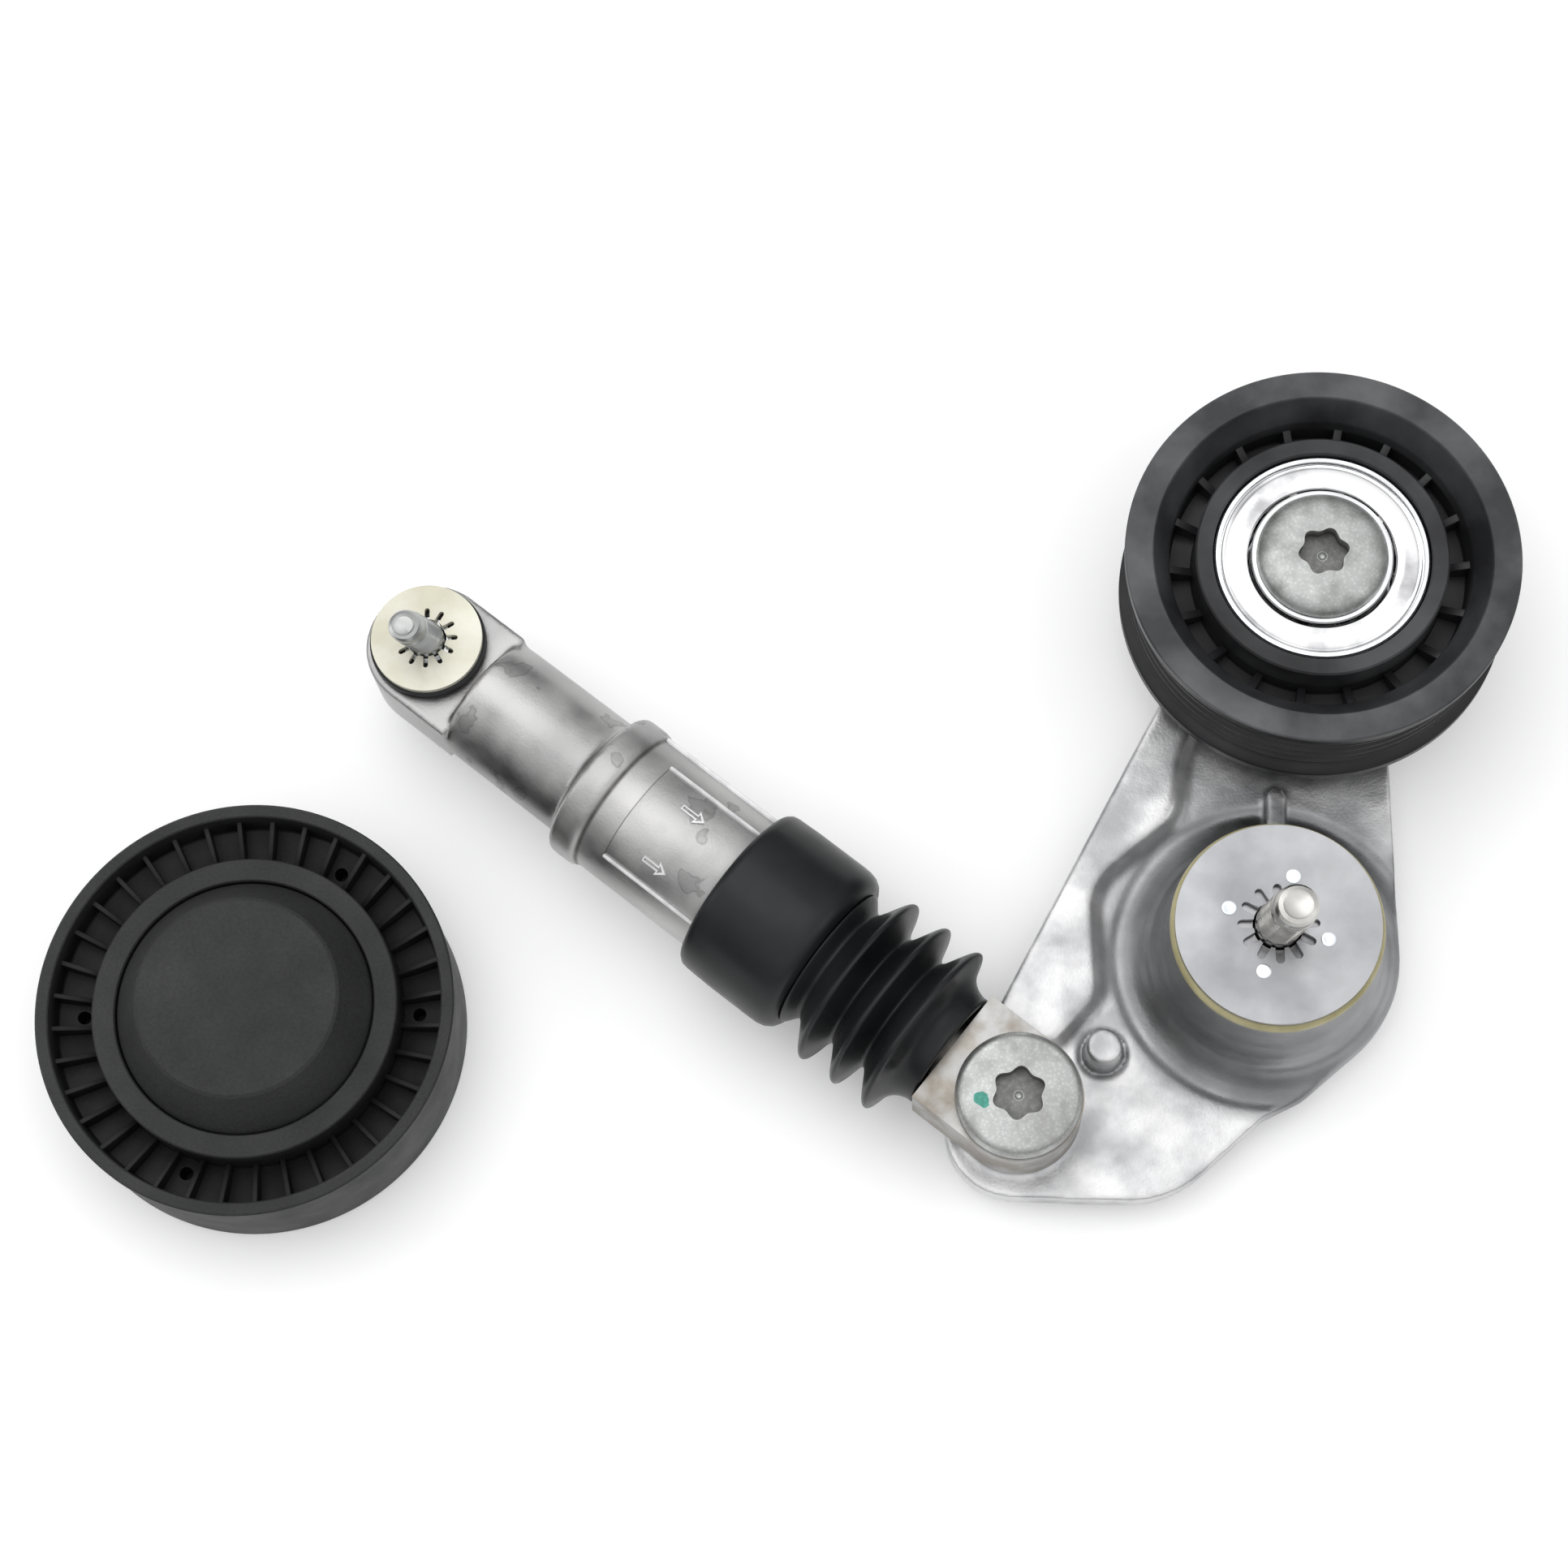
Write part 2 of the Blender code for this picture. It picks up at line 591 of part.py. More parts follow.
def upper_eye_pieces():
    """Bush and seal in the ear; bolt, flanged sleeve and star washer that stay with the engine."""
    axis = top_axis()
    stand(tube("upper_eye_bush", 0.0070, 0.0057, EAR_LOW + GAP, EAR_TOP - GAP, BLACK_RUBBER), axis)
    stand(tube("upper_eye_seal", 0.0130, 0.0057, EAR_TOP + GAP, 0.0332, BLACK_RUBBER), axis)
    sleeve_profile = [
        (0.0054, 0.0332), (0.0054, EAR_LOW - GAP), (0.0110, EAR_LOW - GAP), (0.0110, 0.0090),
        (0.0043, 0.0090),
        (0.0043, 0.0332),
    ]
    stand(turned("top_sleeve", sleeve_profile, BRIGHT_STEEL, RING_STEPS), axis)
    washer_loops = [circle(0.0124, RING_STEPS), star(0.0044, 0.0069, 12, 0.0006)]
    stand(prism("top_washer", washer_loops, 0.0335, 0.0349, PALE_ZINC), axis)
    bolt_profile = [
        (0, 0.0490), (0.0031, 0.0490), (0.0040, 0.0480), (0.0040, 0.0087), (0.0088, 0.0087),
        (0.0092, 0.0074),
        (0.0072, 0.0066), (0.0068, 0.0010), (0.0040, 0.0010), (0.0040, 0.0045), (0, 0.0045),
    ]
    stand(turned("top_bolt", bolt_profile, ZINC_FLAKE, RING_STEPS), axis)


def idler_pieces():
    """Smooth plastic pulley, dust cap, bearing and the stepped sleeve in its bore."""
    rim_profile = [
        (0.0454, IDLER_TOP), (IDLER_RADIUS, 0.0254), (IDLER_RADIUS, 0.0226), (0.0456, 0.0222),
        (0.0456, 0.0006),
        (0.0450, 0), (0.0424, 0), (0.0424, 0.0090), (0.0244, 0.0090), (0.0244, 0.0040), (0.0186, 0.0040),
        (0.0186, 0.0057), (0.0203, 0.0057), (0.0203, 0.0186), (0.0284, 0.0186), (0.0284, IDLER_TOP),
        (0.0334, IDLER_TOP), (0.0336, 0.0165), (0.0429, 0.0165), (0.0431, IDLER_TOP),
    ]
    rim = stand(turned("idler_rim", rim_profile, IDLER_PLASTIC), IDLER_AXIS)
    spots = around(IDLER_RIBS, 0.0383, (0.0100, 0.0014, 0.0080), 0.0200)
    boolean(rim, stand(many("idler_ribs", spots, block, IDLER_PLASTIC), IDLER_AXIS), "UNION")
    cap_profile = [
        (0, CAP_TOP), (0.0216, CAP_TOP), (0.0223, CAP_TOP - 0.0005), (0.0274, 0.0260), (0.0281, 0.0250),
        (0.0281, 0.0225), (0.0270, 0.0190), (0.0254, 0.0190), (0.0254, 0.0256), (0.0207, CAP_TOP - 0.0018),
        (0, CAP_TOP - 0.0018),
    ]
    stand(turned("idler_dust_cap", cap_profile, IDLER_PLASTIC), IDLER_AXIS)
    ball_bearing("idler", IDLER_AXIS, IDLER_BEARING, BLACK_RUBBER)
    sleeve_profile = [
        (0.0082, 0.0183), (0.0082, 0.0057), (0.0110, 0.0057), (0.0110, 0.0020), (THREAD_BORE, 0.0020),
        (THREAD_BORE, 0.0183),
    ]
    stand(turned("idler_sleeve", sleeve_profile, BRIGHT_STEEL, RING_STEPS), IDLER_AXIS)


arm_casting()
pivot_pieces()
tension_pulley_pieces()
lower_eye_pieces()
rod_side_pieces()
bellows_boot()
cylinder_pieces()
upper_eye_pieces()
idler_pieces()
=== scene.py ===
import json
import math

import bpy
from mathutils import Matrix, Vector

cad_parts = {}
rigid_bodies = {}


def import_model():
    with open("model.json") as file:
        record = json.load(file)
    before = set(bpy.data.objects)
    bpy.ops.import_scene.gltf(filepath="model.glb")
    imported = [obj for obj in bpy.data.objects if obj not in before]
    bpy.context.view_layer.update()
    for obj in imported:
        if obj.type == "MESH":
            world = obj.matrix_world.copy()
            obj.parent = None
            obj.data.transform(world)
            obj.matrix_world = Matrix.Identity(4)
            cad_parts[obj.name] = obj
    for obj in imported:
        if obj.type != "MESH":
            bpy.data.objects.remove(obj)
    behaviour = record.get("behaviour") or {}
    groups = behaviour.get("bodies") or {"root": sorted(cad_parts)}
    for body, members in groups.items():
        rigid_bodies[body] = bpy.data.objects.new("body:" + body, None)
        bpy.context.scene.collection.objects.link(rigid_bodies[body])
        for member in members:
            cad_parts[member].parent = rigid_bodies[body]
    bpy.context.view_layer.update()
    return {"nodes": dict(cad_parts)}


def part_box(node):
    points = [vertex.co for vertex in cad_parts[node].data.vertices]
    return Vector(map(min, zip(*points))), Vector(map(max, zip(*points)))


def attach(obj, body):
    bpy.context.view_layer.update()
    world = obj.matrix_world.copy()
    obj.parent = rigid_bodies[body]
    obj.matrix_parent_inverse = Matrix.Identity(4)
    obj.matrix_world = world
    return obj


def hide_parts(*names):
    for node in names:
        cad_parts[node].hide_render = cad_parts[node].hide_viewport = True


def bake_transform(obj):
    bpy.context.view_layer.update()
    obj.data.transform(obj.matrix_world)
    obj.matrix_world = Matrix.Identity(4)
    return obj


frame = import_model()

# --- Bench, light and camera ---------------------------------------------------------------------
# A white table that glows a little, a large soft lamp above it, a dimmer lamp on each side and a pale
# room around.
# The camera stands above the near edge and looks down, a little forwards.

floor_size = 6.0
room_shades = [(0.0, 0.32), (0.18, 0.24), (0.45, 0.50), (0.72, 1.00), (1.0, 1.15)]
room_strength = 1.08

bpy.ops.mesh.primitive_plane_add(size=floor_size, location=(0, 0, -0.0002))
floor = bpy.context.object
floor.name = "table_top"
bpy.ops.object.transform_apply(location=True)
table_paint = bpy.data.materials.new("table_paint")
table_paint.use_nodes = True
paint = table_paint.node_tree.nodes["Principled BSDF"]
paint.inputs["Base Color"].default_value = (0.93, 0.93, 0.93, 1)
paint.inputs["Roughness"].default_value = 0.75
paint.inputs["Emission Color"].default_value = (1, 1, 1, 1)
paint.inputs["Emission Strength"].default_value = 0.14
floor.data.materials.append(table_paint)

room = bpy.data.worlds.new("room")
bpy.context.scene.world = room
room.use_nodes = True
sky = room.node_tree
direction = sky.nodes.new("ShaderNodeTexCoord")
split = sky.nodes.new("ShaderNodeSeparateXYZ")
ramp = sky.nodes.new("ShaderNodeValToRGB")
for place, shade in room_shades[1:-1]:
    ramp.color_ramp.elements.new(place)
for element, (place, shade) in zip(ramp.color_ramp.elements, room_shades):
    element.position = place
    element.color = (shade, shade, shade * 1.01, 1)
sky.links.new(direction.outputs["Generated"], split.inputs[0])
sky.links.new(split.outputs["Z"], ramp.inputs["Fac"])
sky.links.new(ramp.outputs["Color"], sky.nodes["Background"].inputs["Color"])
sky.nodes["Background"].inputs["Strength"].default_value = room_strength

lamps = [
    ("ceiling_panel", (-0.35, 0.45, 1.5), 1.2, 4.5),
    ("right_panel", (1.3, -0.3, 0.9), 0.7, 1.6),
    ("left_window", (-1.4, 0.2, 0.8), 0.7, 2.0),
]
bpy.context.scene.view_settings.view_transform = "Standard"
for lamp_name, lamp_place, lamp_size, lamp_power in lamps:
    bpy.ops.object.light_add(type="AREA", location=lamp_place)
    lamp = bpy.context.object
    lamp.name = lamp_name
    lamp.data.size = lamp_size
    lamp.data.energy = lamp_power
    lamp.rotation_euler = Vector(lamp_place).to_track_quat("Z", "Y").to_euler()

camera_place = Vector((0.03025, -0.2187, 0.739))
camera_right = Vector((0.9992, 0.0, -0.0406))
camera_up = Vector((0.0121, 0.9547, 0.2975))
camera_data = bpy.data.cameras.new("camera")
camera_data.lens = 77.7
camera_data.sensor_width = 36.0
camera_data.clip_start = 0.01
camera = bpy.data.objects.new("camera", camera_data)
bpy.context.scene.collection.objects.link(camera)
camera_turn = Matrix((camera_right, camera_up, camera_right.cross(camera_up))).transposed().to_4x4()
camera.matrix_world = Matrix.Translation(camera_place) @ camera_turn
bpy.context.scene.camera = camera

# --- Cast arm ------------------------------------------------------------------------------------
# One aluminium pressure casting: a flat web with a raised strip along its left edge, a tall pivot
# housing, a hub for the pulley, a boss for the strut's eye and a short peg. Its corners are all soft.


def middle(node):
    """The point at the middle of a CAD node's box."""
    low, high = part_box(node)
    return (low + high) / 2


def only(piece):
    bpy.ops.object.select_all(action="DESELECT")
    piece.select_set(True)
    bpy.context.view_layer.objects.active = piece
    return piece


def applied(piece, kind, **settings):
    """Give a piece one modifier and apply it."""
    only(piece)
    bpy.ops.object.modifier_add(type=kind)
    step = piece.modifiers[-1]
    for setting, value in settings.items():
        setattr(step, setting, value)
    bpy.ops.object.modifier_apply(modifier=step.name)
    return piece


def closed(piece):
    """Merge seams and poles and turn every face outwards."""
    only(piece)
    bpy.ops.object.mode_set(mode="EDIT")
    bpy.ops.mesh.select_all(action="SELECT")
    bpy.ops.mesh.remove_doubles(threshold=0.000002)
    bpy.ops.mesh.dissolve_degenerate(threshold=0.000002)
    bpy.ops.mesh.normals_make_consistent(inside=False)
    bpy.ops.object.mode_set(mode="OBJECT")
    return piece


def smooth(piece, angle=35):
    only(piece)
    bpy.ops.object.shade_smooth_by_angle(angle=math.radians(angle))
    return piece


def turned(name, profile, centre=(0, 0), steps=96):
    """Draw a profile of (radius, height) points by extruding one vertex, then spin it."""
    bpy.ops.object.select_all(action="DESELECT")
    start = (centre[0] + profile[0][0], centre[1], profile[0][1])
    bpy.ops.mesh.primitive_plane_add(size=0.001, location=start)
    piece = bpy.context.object
    piece.name = name
    bpy.ops.object.mode_set(mode="EDIT")
    bpy.ops.mesh.select_mode(type="VERT")
    bpy.ops.mesh.merge(type="CENTER")
    for (radius, height), (next_radius, next_height) in zip(profile, profile[1:]):
        step = (next_radius - radius, 0, next_height - height)
        bpy.ops.mesh.extrude_vertices_move(TRANSFORM_OT_translate={"value": step})
    if profile[0][0] > 0:
        step = (profile[0][0] - profile[-1][0], 0, profile[0][1] - profile[-1][1])
        bpy.ops.mesh.extrude_vertices_move(TRANSFORM_OT_translate={"value": step})
    bpy.ops.mesh.select_all(action="SELECT")
    axis_point = (centre[0], centre[1], 0)
    bpy.ops.mesh.spin(steps=steps, angle=2 * math.pi, center=axis_point, axis=(0, 0, 1))
    bpy.ops.object.mode_set(mode="OBJECT")
    only(piece)
    bpy.ops.object.transform_apply(location=True, rotation=True, scale=True)
    return closed(piece)


def rounded(corners, steps=10):
    """A loop through (x, y, radius) corners, each corner replaced by an arc of its radius."""
    loop = []
    for i, (x, y, radius) in enumerate(corners):
        here = Vector((x, y))
        if radius == 0:
            loop.append((x, y))
            continue
        before = (Vector(corners[i - 1][:2]) - here).normalized()
        after = (Vector(corners[(i + 1) % len(corners)][:2]) - here).normalized()
        half = before.angle(after) / 2
        centre = here + (before + after).normalized() * radius / math.sin(half)
        start = here + before * radius / math.tan(half) - centre
        end = here + after * radius / math.tan(half) - centre
        sweep = start.angle_signed(end)
        for k in range(steps + 1):
            loop.append(tuple(centre + Matrix.Rotation(-sweep * k / steps, 2) @ start))
    return loop


def flat(name, loops, low, high):
    """A filled outline, with any holes as further loops, given thickness from low to high."""
    curve = bpy.data.curves.new(name, "CURVE")
    curve.dimensions = "2D"
    curve.fill_mode = "BOTH"
    curve.extrude = (high - low) / 2
    for loop in loops:
        spline = curve.splines.new("POLY")
        spline.points.add(len(loop) - 1)
        for point, (x, y) in zip(spline.points, loop):
            point.co = (x, y, 0, 1)
        spline.use_cyclic_u = True
    piece = bpy.data.objects.new(name, curve)
    bpy.context.scene.collection.objects.link(piece)
    only(piece)
    bpy.ops.object.convert(target="MESH")
    piece = bpy.context.object
    piece.data.transform(Matrix.Translation((0, 0, (low + high) / 2)))
    return closed(piece)


def cut(piece, tool, operation="DIFFERENCE"):
    """Cut a piece with a tool, or join the two, and throw the tool away."""
    applied(piece, "BOOLEAN", object=tool, operation=operation)
    bpy.data.objects.remove(tool, do_unlink=True)
    return closed(piece)


def rod(name, radius, low, high, centre=(0, 0), steps=48):
    return turned(name, [(0, high), (radius, high), (radius, low), (0, low)], centre, steps)


def part_node(made, kind, **settings):
    new = made.node_tree.nodes.new(kind)
    for setting, value in settings.items():
        setattr(new, setting, value)
    return new


def finish_of(name, colour, metallic, roughness):
    """A new finish whose even values sit on the shader itself."""
    made = bpy.data.materials.new(name)
    made.use_nodes = True
    shader = made.node_tree.nodes["Principled BSDF"]
    shader.inputs["Base Color"].default_value = (*colour, 1)
    shader.inputs["Metallic"].default_value = metallic
    shader.inputs["Roughness"].default_value = roughness
    return made


def grain(made, scale, detail=4.0, stretch=(1, 1, 1)):
    """Noise over the piece's own coordinates; returns its factor."""
    place = part_node(made, "ShaderNodeTexCoord")
    mapping = part_node(made, "ShaderNodeMapping")
    mapping.inputs["Scale"].default_value = stretch
    noise = part_node(made, "ShaderNodeTexNoise")
    noise.inputs["Scale"].default_value = scale
    noise.inputs["Detail"].default_value = detail
    made.node_tree.links.new(place.outputs["Object"], mapping.inputs["Vector"])
    made.node_tree.links.new(mapping.outputs["Vector"], noise.inputs["Vector"])
    return noise.outputs["Fac"]


def distance_from(made, centre):
    """How far each point lies from an upright axis."""
    place = part_node(made, "ShaderNodeTexCoord")
    mapping = part_node(made, "ShaderNodeMapping")
    mapping.inputs["Location"].default_value = (-centre[0], -centre[1], 0)
    mapping.inputs["Scale"].default_value = (1, 1, 0)
    length = part_node(made, "ShaderNodeVectorMath", operation="LENGTH")
    made.node_tree.links.new(place.outputs["Object"], mapping.inputs["Vector"])
    made.node_tree.links.new(mapping.outputs["Vector"], length.inputs[0])
    return length.outputs["Value"]


def height_of(made):
    """The height of each point above the table."""
    place = part_node(made, "ShaderNodeTexCoord")
    split_place = part_node(made, "ShaderNodeSeparateXYZ")
    made.node_tree.links.new(place.outputs["Object"], split_place.inputs[0])
    return split_place.outputs["Z"]


def joined(made, first, second, operation="MULTIPLY"):
    """The product of two values, or the result of another operation on them."""
    result = part_node(made, "ShaderNodeMath", operation=operation)
    made.node_tree.links.new(first, result.inputs[0])
    made.node_tree.links.new(second, result.inputs[1])
    return result.outputs[0]


def rings(made, centre, per_metre):
    """Fine concentric tool marks about an upright axis."""
    scaled = part_node(made, "ShaderNodeMath", operation="MULTIPLY")
    scaled.inputs[1].default_value = per_metre
    made.node_tree.links.new(distance_from(made, centre), scaled.inputs[0])
    noise = part_node(made, "ShaderNodeTexNoise", noise_dimensions="1D")
    noise.inputs["Scale"].default_value = 1.0
    noise.inputs["Detail"].default_value = 3.0
    made.node_tree.links.new(scaled.outputs[0], noise.inputs["W"])
    return noise.outputs["Fac"]


def spread(made, factor, low, high, at_low=0.3, at_high=0.7):
    """Map a factor onto a range of values."""
    ranged = part_node(made, "ShaderNodeMapRange")
    ranged.inputs["From Min"].default_value = at_low
    ranged.inputs["From Max"].default_value = at_high
    ranged.inputs["To Min"].default_value = low
    ranged.inputs["To Max"].default_value = high
    made.node_tree.links.new(factor, ranged.inputs["Value"])
    return ranged.outputs["Result"]


def shades(made, factor, dark, light, at_dark=0.3, at_light=0.7):
    """Map a factor onto a run of colours."""
    ramp = part_node(made, "ShaderNodeValToRGB")
    ramp.color_ramp.elements[0].position = at_dark
    ramp.color_ramp.elements[0].color = (*dark, 1)
    ramp.color_ramp.elements[1].position = at_light
    ramp.color_ramp.elements[1].color = (*light, 1)
    made.node_tree.links.new(factor, ramp.inputs["Fac"])
    return ramp.outputs["Color"]


def mixed(made, factor, first, second, blend="MIX"):
    mix = part_node(made, "ShaderNodeMix", data_type="RGBA", blend_type=blend)
    if isinstance(factor, float):
        mix.inputs["Factor"].default_value = factor
    else:
        made.node_tree.links.new(factor, mix.inputs["Factor"])
    made.node_tree.links.new(first, mix.inputs["A"])
    made.node_tree.links.new(second, mix.inputs["B"])
    return mix.outputs["Result"]


def dress(made, colour=None, roughness=None, bumps=()):
    """Join a colour, a roughness and layers of (height, strength, depth) bumps to the shader."""
    shader = made.node_tree.nodes["Principled BSDF"]
    if colour is not None:
        made.node_tree.links.new(colour, shader.inputs["Base Color"])
    if roughness is not None:
        made.node_tree.links.new(roughness, shader.inputs["Roughness"])
    under = None
    for height, strength, depth in bumps:
        bump = part_node(made, "ShaderNodeBump")
        bump.inputs["Strength"].default_value = strength
        bump.inputs["Distance"].default_value = depth
        made.node_tree.links.new(height, bump.inputs["Height"])
        if under is not None:
            made.node_tree.links.new(under, bump.inputs["Normal"])
        under = bump.outputs["Normal"]
    if under is not None:
        made.node_tree.links.new(under, shader.inputs["Normal"])
    return made


def clothe(piece, made):
    piece.data.materials.clear()
    piece.data.materials.append(made)
    return piece


pulley_axis = middle("ribbed_pulley")
pivot_axis = middle("pivot_bolt")
eye_axis = middle("eye_bolt")
idler_axis = middle("idler_rim")
top_axis = middle("top_bolt")

web_low, web_top = 0.0045, 0.0110
strip_rise, strip_slope, strip_root = 0.0029, 0.0030, 0.0020
dish_radius, dish_floor = 0.0352, 0.0100
bolt_hole, bush_hole = 0.0053, 0.0133
below, above = -0.002, 0.04
peg_place = (0.0706, -0.0542)
housing_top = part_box("arm_casting")[1].z
web_corners = [
    (0.0261, -0.0850, 0.0150), (0.0840, -0.0873, 0.0240), (0.1050, -0.0688, 0.0045),
    (0.1140, -0.0645, 0.0120), (0.13635, -0.0455, 0.0270), (0.13660, 0.0484, 0), (0.10130, 0.0550, 0),
]
strip_corners = [
    (0.0880, 0.0380, 0), (0.0975, 0.0250, 0.0070), (0.0918, 0.0118, 0.0110),
    (0.0903, -0.0020, 0.0130), (0.0712, -0.0175, 0.0110), (0.0722, -0.0420, 0.0100),
    (0.0610, -0.0545, 0.0060), (0.0390, -0.0545, 0),
]
arm = flat("arm_casting_shell", [rounded(web_corners)], web_low, web_top)
strip = flat("raised_strip", [rounded(strip_corners)], web_top - strip_root, web_top)
bpy.context.tool_settings.mesh_select_mode = (False, False, True)
for face in strip.data.polygons:
    face.select = face.normal.z > 0.9
for edge in strip.data.edges:
    edge.select = False
bpy.ops.object.mode_set(mode="EDIT")
bpy.ops.mesh.inset(thickness=strip_slope, depth=strip_rise, use_even_offset=True)
bpy.ops.object.mode_set(mode="OBJECT")
edge_start = Vector(web_corners[0][:2])
edge_along = (Vector(web_corners[-1][:2]) - edge_start).normalized()
edge_out = Vector((-edge_along.y, edge_along.x))
beyond_edge = [
    tuple(edge_start + edge_along * far + edge_out * out)
    for far, out in ((-0.03, 0.0002), (0.18, 0.0002), (0.18, 0.04), (-0.03, 0.04))
]
cut(strip, flat("beyond_edge", [beyond_edge], 0, 0.03))
cut(arm, strip, "UNION")
dish_profile = [
    (0, 0.02), (dish_radius + 0.0006, 0.02), (dish_radius, web_top + 0.0002),
    (dish_radius - 0.0016, web_top - 0.0005), (dish_radius - 0.0040, dish_floor), (0, dish_floor),
]
cut(arm, turned("dish", dish_profile, pivot_axis))
housing_profile = [
    (0, housing_top), (0.0212, housing_top), (0.0224, housing_top - 0.0010), (0.0229, 0.0300),
    (0.0237, 0.0240), (0.0249, 0.0185), (0.0266, 0.0140), (0.0281, 0.0114), (0.0282, 0.0010),
    (0.0272, 0), (0, 0),
]
cut(arm, turned("pivot_housing", housing_profile, pivot_axis, 128), "UNION")
flare_profile = [
    (0, 0.0150), (0.0268, 0.0150), (0.0281, 0.0130), (0.0300, 0.0114), (0.0325, 0.0103),
    (0.0345, 0.0099), (0.0345, 0.0090), (0, 0.0090),
]
flare = turned("housing_foot", flare_profile, pivot_axis, 128)
cut(flare, flat("outline_clip", [rounded(web_corners)], 0.0002, 0.0301), "INTERSECT")
cut(arm, flare, "UNION")
hub_profile = [
    (0, 0.0227), (0.0150, 0.0227), (0.0160, 0.0217), (0.0164, 0.0125), (0.0178, 0.0112),
    (0.0200, 0.0108), (0.0200, 0.0048), (0.0125, 0.0040), (0.0125, 0), (0, 0),
]
cut(arm, turned("pulley_hub", hub_profile, pulley_axis), "UNION")
cut(arm, rod("eye_boss", 0.0130, 0.0001, 0.0140, eye_axis), "UNION")
moat_profile = [(0, 0.0125), (0.0060, 0.0125), (0.0055, 0.0105), (0.0050, 0.0101), (0, 0.0101)]
cut(arm, turned("peg_moat", moat_profile, peg_place))
peg_profile = [
    (0, 0.0186), (0.0037, 0.0186), (0.0040, 0.0183), (0.0041, 0.0098), (0.0042, 0.0080), (0, 0.0080),
]
cut(arm, turned("peg", peg_profile, peg_place), "UNION")
rib_corners = [
    (0.1077, -0.0120, 0), (0.1120, -0.0120, 0), (0.1128, 0.0052, 0.0021), (0.1085, 0.0052, 0.0021),
]
cut(arm, flat("short_rib", [rounded(rib_corners)], 0.0090, 0.0150), "UNION")
pocket_low, pocket_high = 0.0020, 0.0082
pocket_corners = [
    [(0.077, -0.027, 0.003), (0.062, -0.052, 0.004), (0.069, -0.060, 0.004), (0.080, -0.047, 0.004)],
    [(0.093, 0, 0.003), (0.109, 0.002, 0.003), (0.112, 0.026, 0.004), (0.101, 0.033, 0.004)],
    [(0.113, 0.0015, 0.003), (0.131, -0.004, 0.003), (0.131, 0.029, 0.004), (0.116, 0.027, 0.003)],
]
for pocket in pocket_corners:
    cut(arm, flat("back_pocket", [rounded(pocket, 4)], pocket_low, pocket_high))
cut(arm, rod("pulley_bore", bolt_hole, below, above, pulley_axis))
cut(arm, rod("eye_thread", bolt_hole, below, above, eye_axis))
cut(arm, rod("pivot_bore", bush_hole, below, above, pivot_axis))


def cast_skin(piece, voxel, passes):
    """Fuse a joined-up casting into one skin and let its inner corners fill like fillets."""
    applied(piece, "REMESH", mode="VOXEL", voxel_size=voxel)
    applied(piece, "SMOOTH", factor=0.5, iterations=passes)
    only(piece)
    bpy.ops.object.shade_smooth()


cast_skin(arm, 0.00064, 7)

cast_metal = finish_of("cast_aluminium", (0.45, 0.455, 0.46), 1.0, 0.42)
patches = grain(cast_metal, 75, 7)
skin = shades(cast_metal, patches, (0.40, 0.405, 0.41), (0.66, 0.66, 0.66), 0.38, 0.60)
turned_marks = rings(cast_metal, pivot_axis, 1500)
smears = grain(cast_metal, 40, 6)
machined = shades(cast_metal, smears, (0.21, 0.213, 0.217), (0.34, 0.343, 0.347), 0.34, 0.66)
in_dish = spread(cast_metal, distance_from(cast_metal, pivot_axis), 1.0, 0.0, 0.0335, 0.0380)
beyond_moat = spread(cast_metal, distance_from(cast_metal, peg_place), 0.0, 1.0, 0.0048, 0.0066)
on_peg = spread(cast_metal, distance_from(cast_metal, peg_place), 1.0, 0.0, 0.0040, 0.0043)
out_of_moat = joined(cast_metal, beyond_moat, on_peg, "MAXIMUM")
skin = mixed(cast_metal, out_of_moat, machined, skin)
pores = grain(cast_metal, 1700, 3)
dress(
    cast_metal,
    mixed(cast_metal, in_dish, skin, machined),
    spread(cast_metal, grain(cast_metal, 90, 6), 0.34, 0.52),
    [(pores, 0.55, 0.00008), (grain(cast_metal, 260, 4), 0.40, 0.0002), (turned_marks, 0.02, 0.00004)],
)
clothe(arm, cast_metal)
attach(arm, "arm")
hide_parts("arm_casting")

# --- Pivot: nylon bush, sleeve, washer and bolt --------------------------------------------------
# A cream nylon bush with a thin flange is pressed into the housing. The steel sleeve, the bolt through
# it and the star washer that keeps the bolt from falling out stay with the engine when the arm turns.


def turned_face(piece, name, colour, dark, centre, metallic=1.0, roughness=(0.18, 0.30), marks=0.10):
    """A finish with fine lathe rings about an axis, for one turned piece."""
    made = finish_of(name, colour, metallic, roughness[0])
    lathe = rings(made, centre, 2600)
    tint = shades(made, grain(made, 150, 4), dark, colour, 0.30, 0.62)
    dress(
        made, tint, spread(made, grain(made, 240, 3), roughness[0], roughness[1]),
        [(lathe, marks, 0.00005), (grain(made, 1500, 2), 0.10, 0.00003)],
    )
    return clothe(piece, made)


def threaded(piece, centre, radius, low, high, pitch, depth):
    """Press a helical thread into the ring loops of a turned stud."""
    for vertex in piece.data.vertices:
        x = vertex.co.x - centre[0]
        y = vertex.co.y - centre[1]
        out = math.hypot(x, y)
        if out < radius * 0.95 or not low < vertex.co.z < high:
            continue
        phase = (vertex.co.z / pitch - math.atan2(y, x) / (2 * math.pi)) % 1
        fade = min(1, (vertex.co.z - low) / pitch, (high - vertex.co.z) / pitch)
        inward = depth * fade * (1 - abs(2 * phase - 1)) / out
        vertex.co.x -= x * inward
        vertex.co.y -= y * inward
    piece.data.update()
    return piece


def leaning(piece, start, top, lean):
    """Lean the free end of a loose bolt to one side, more towards its tip."""
    for vertex in piece.data.vertices:
        share = max(0, vertex.co.z - start) / (top - start)
        vertex.co.x += lean[0] * share
        vertex.co.y += lean[1] * share
    piece.data.update()


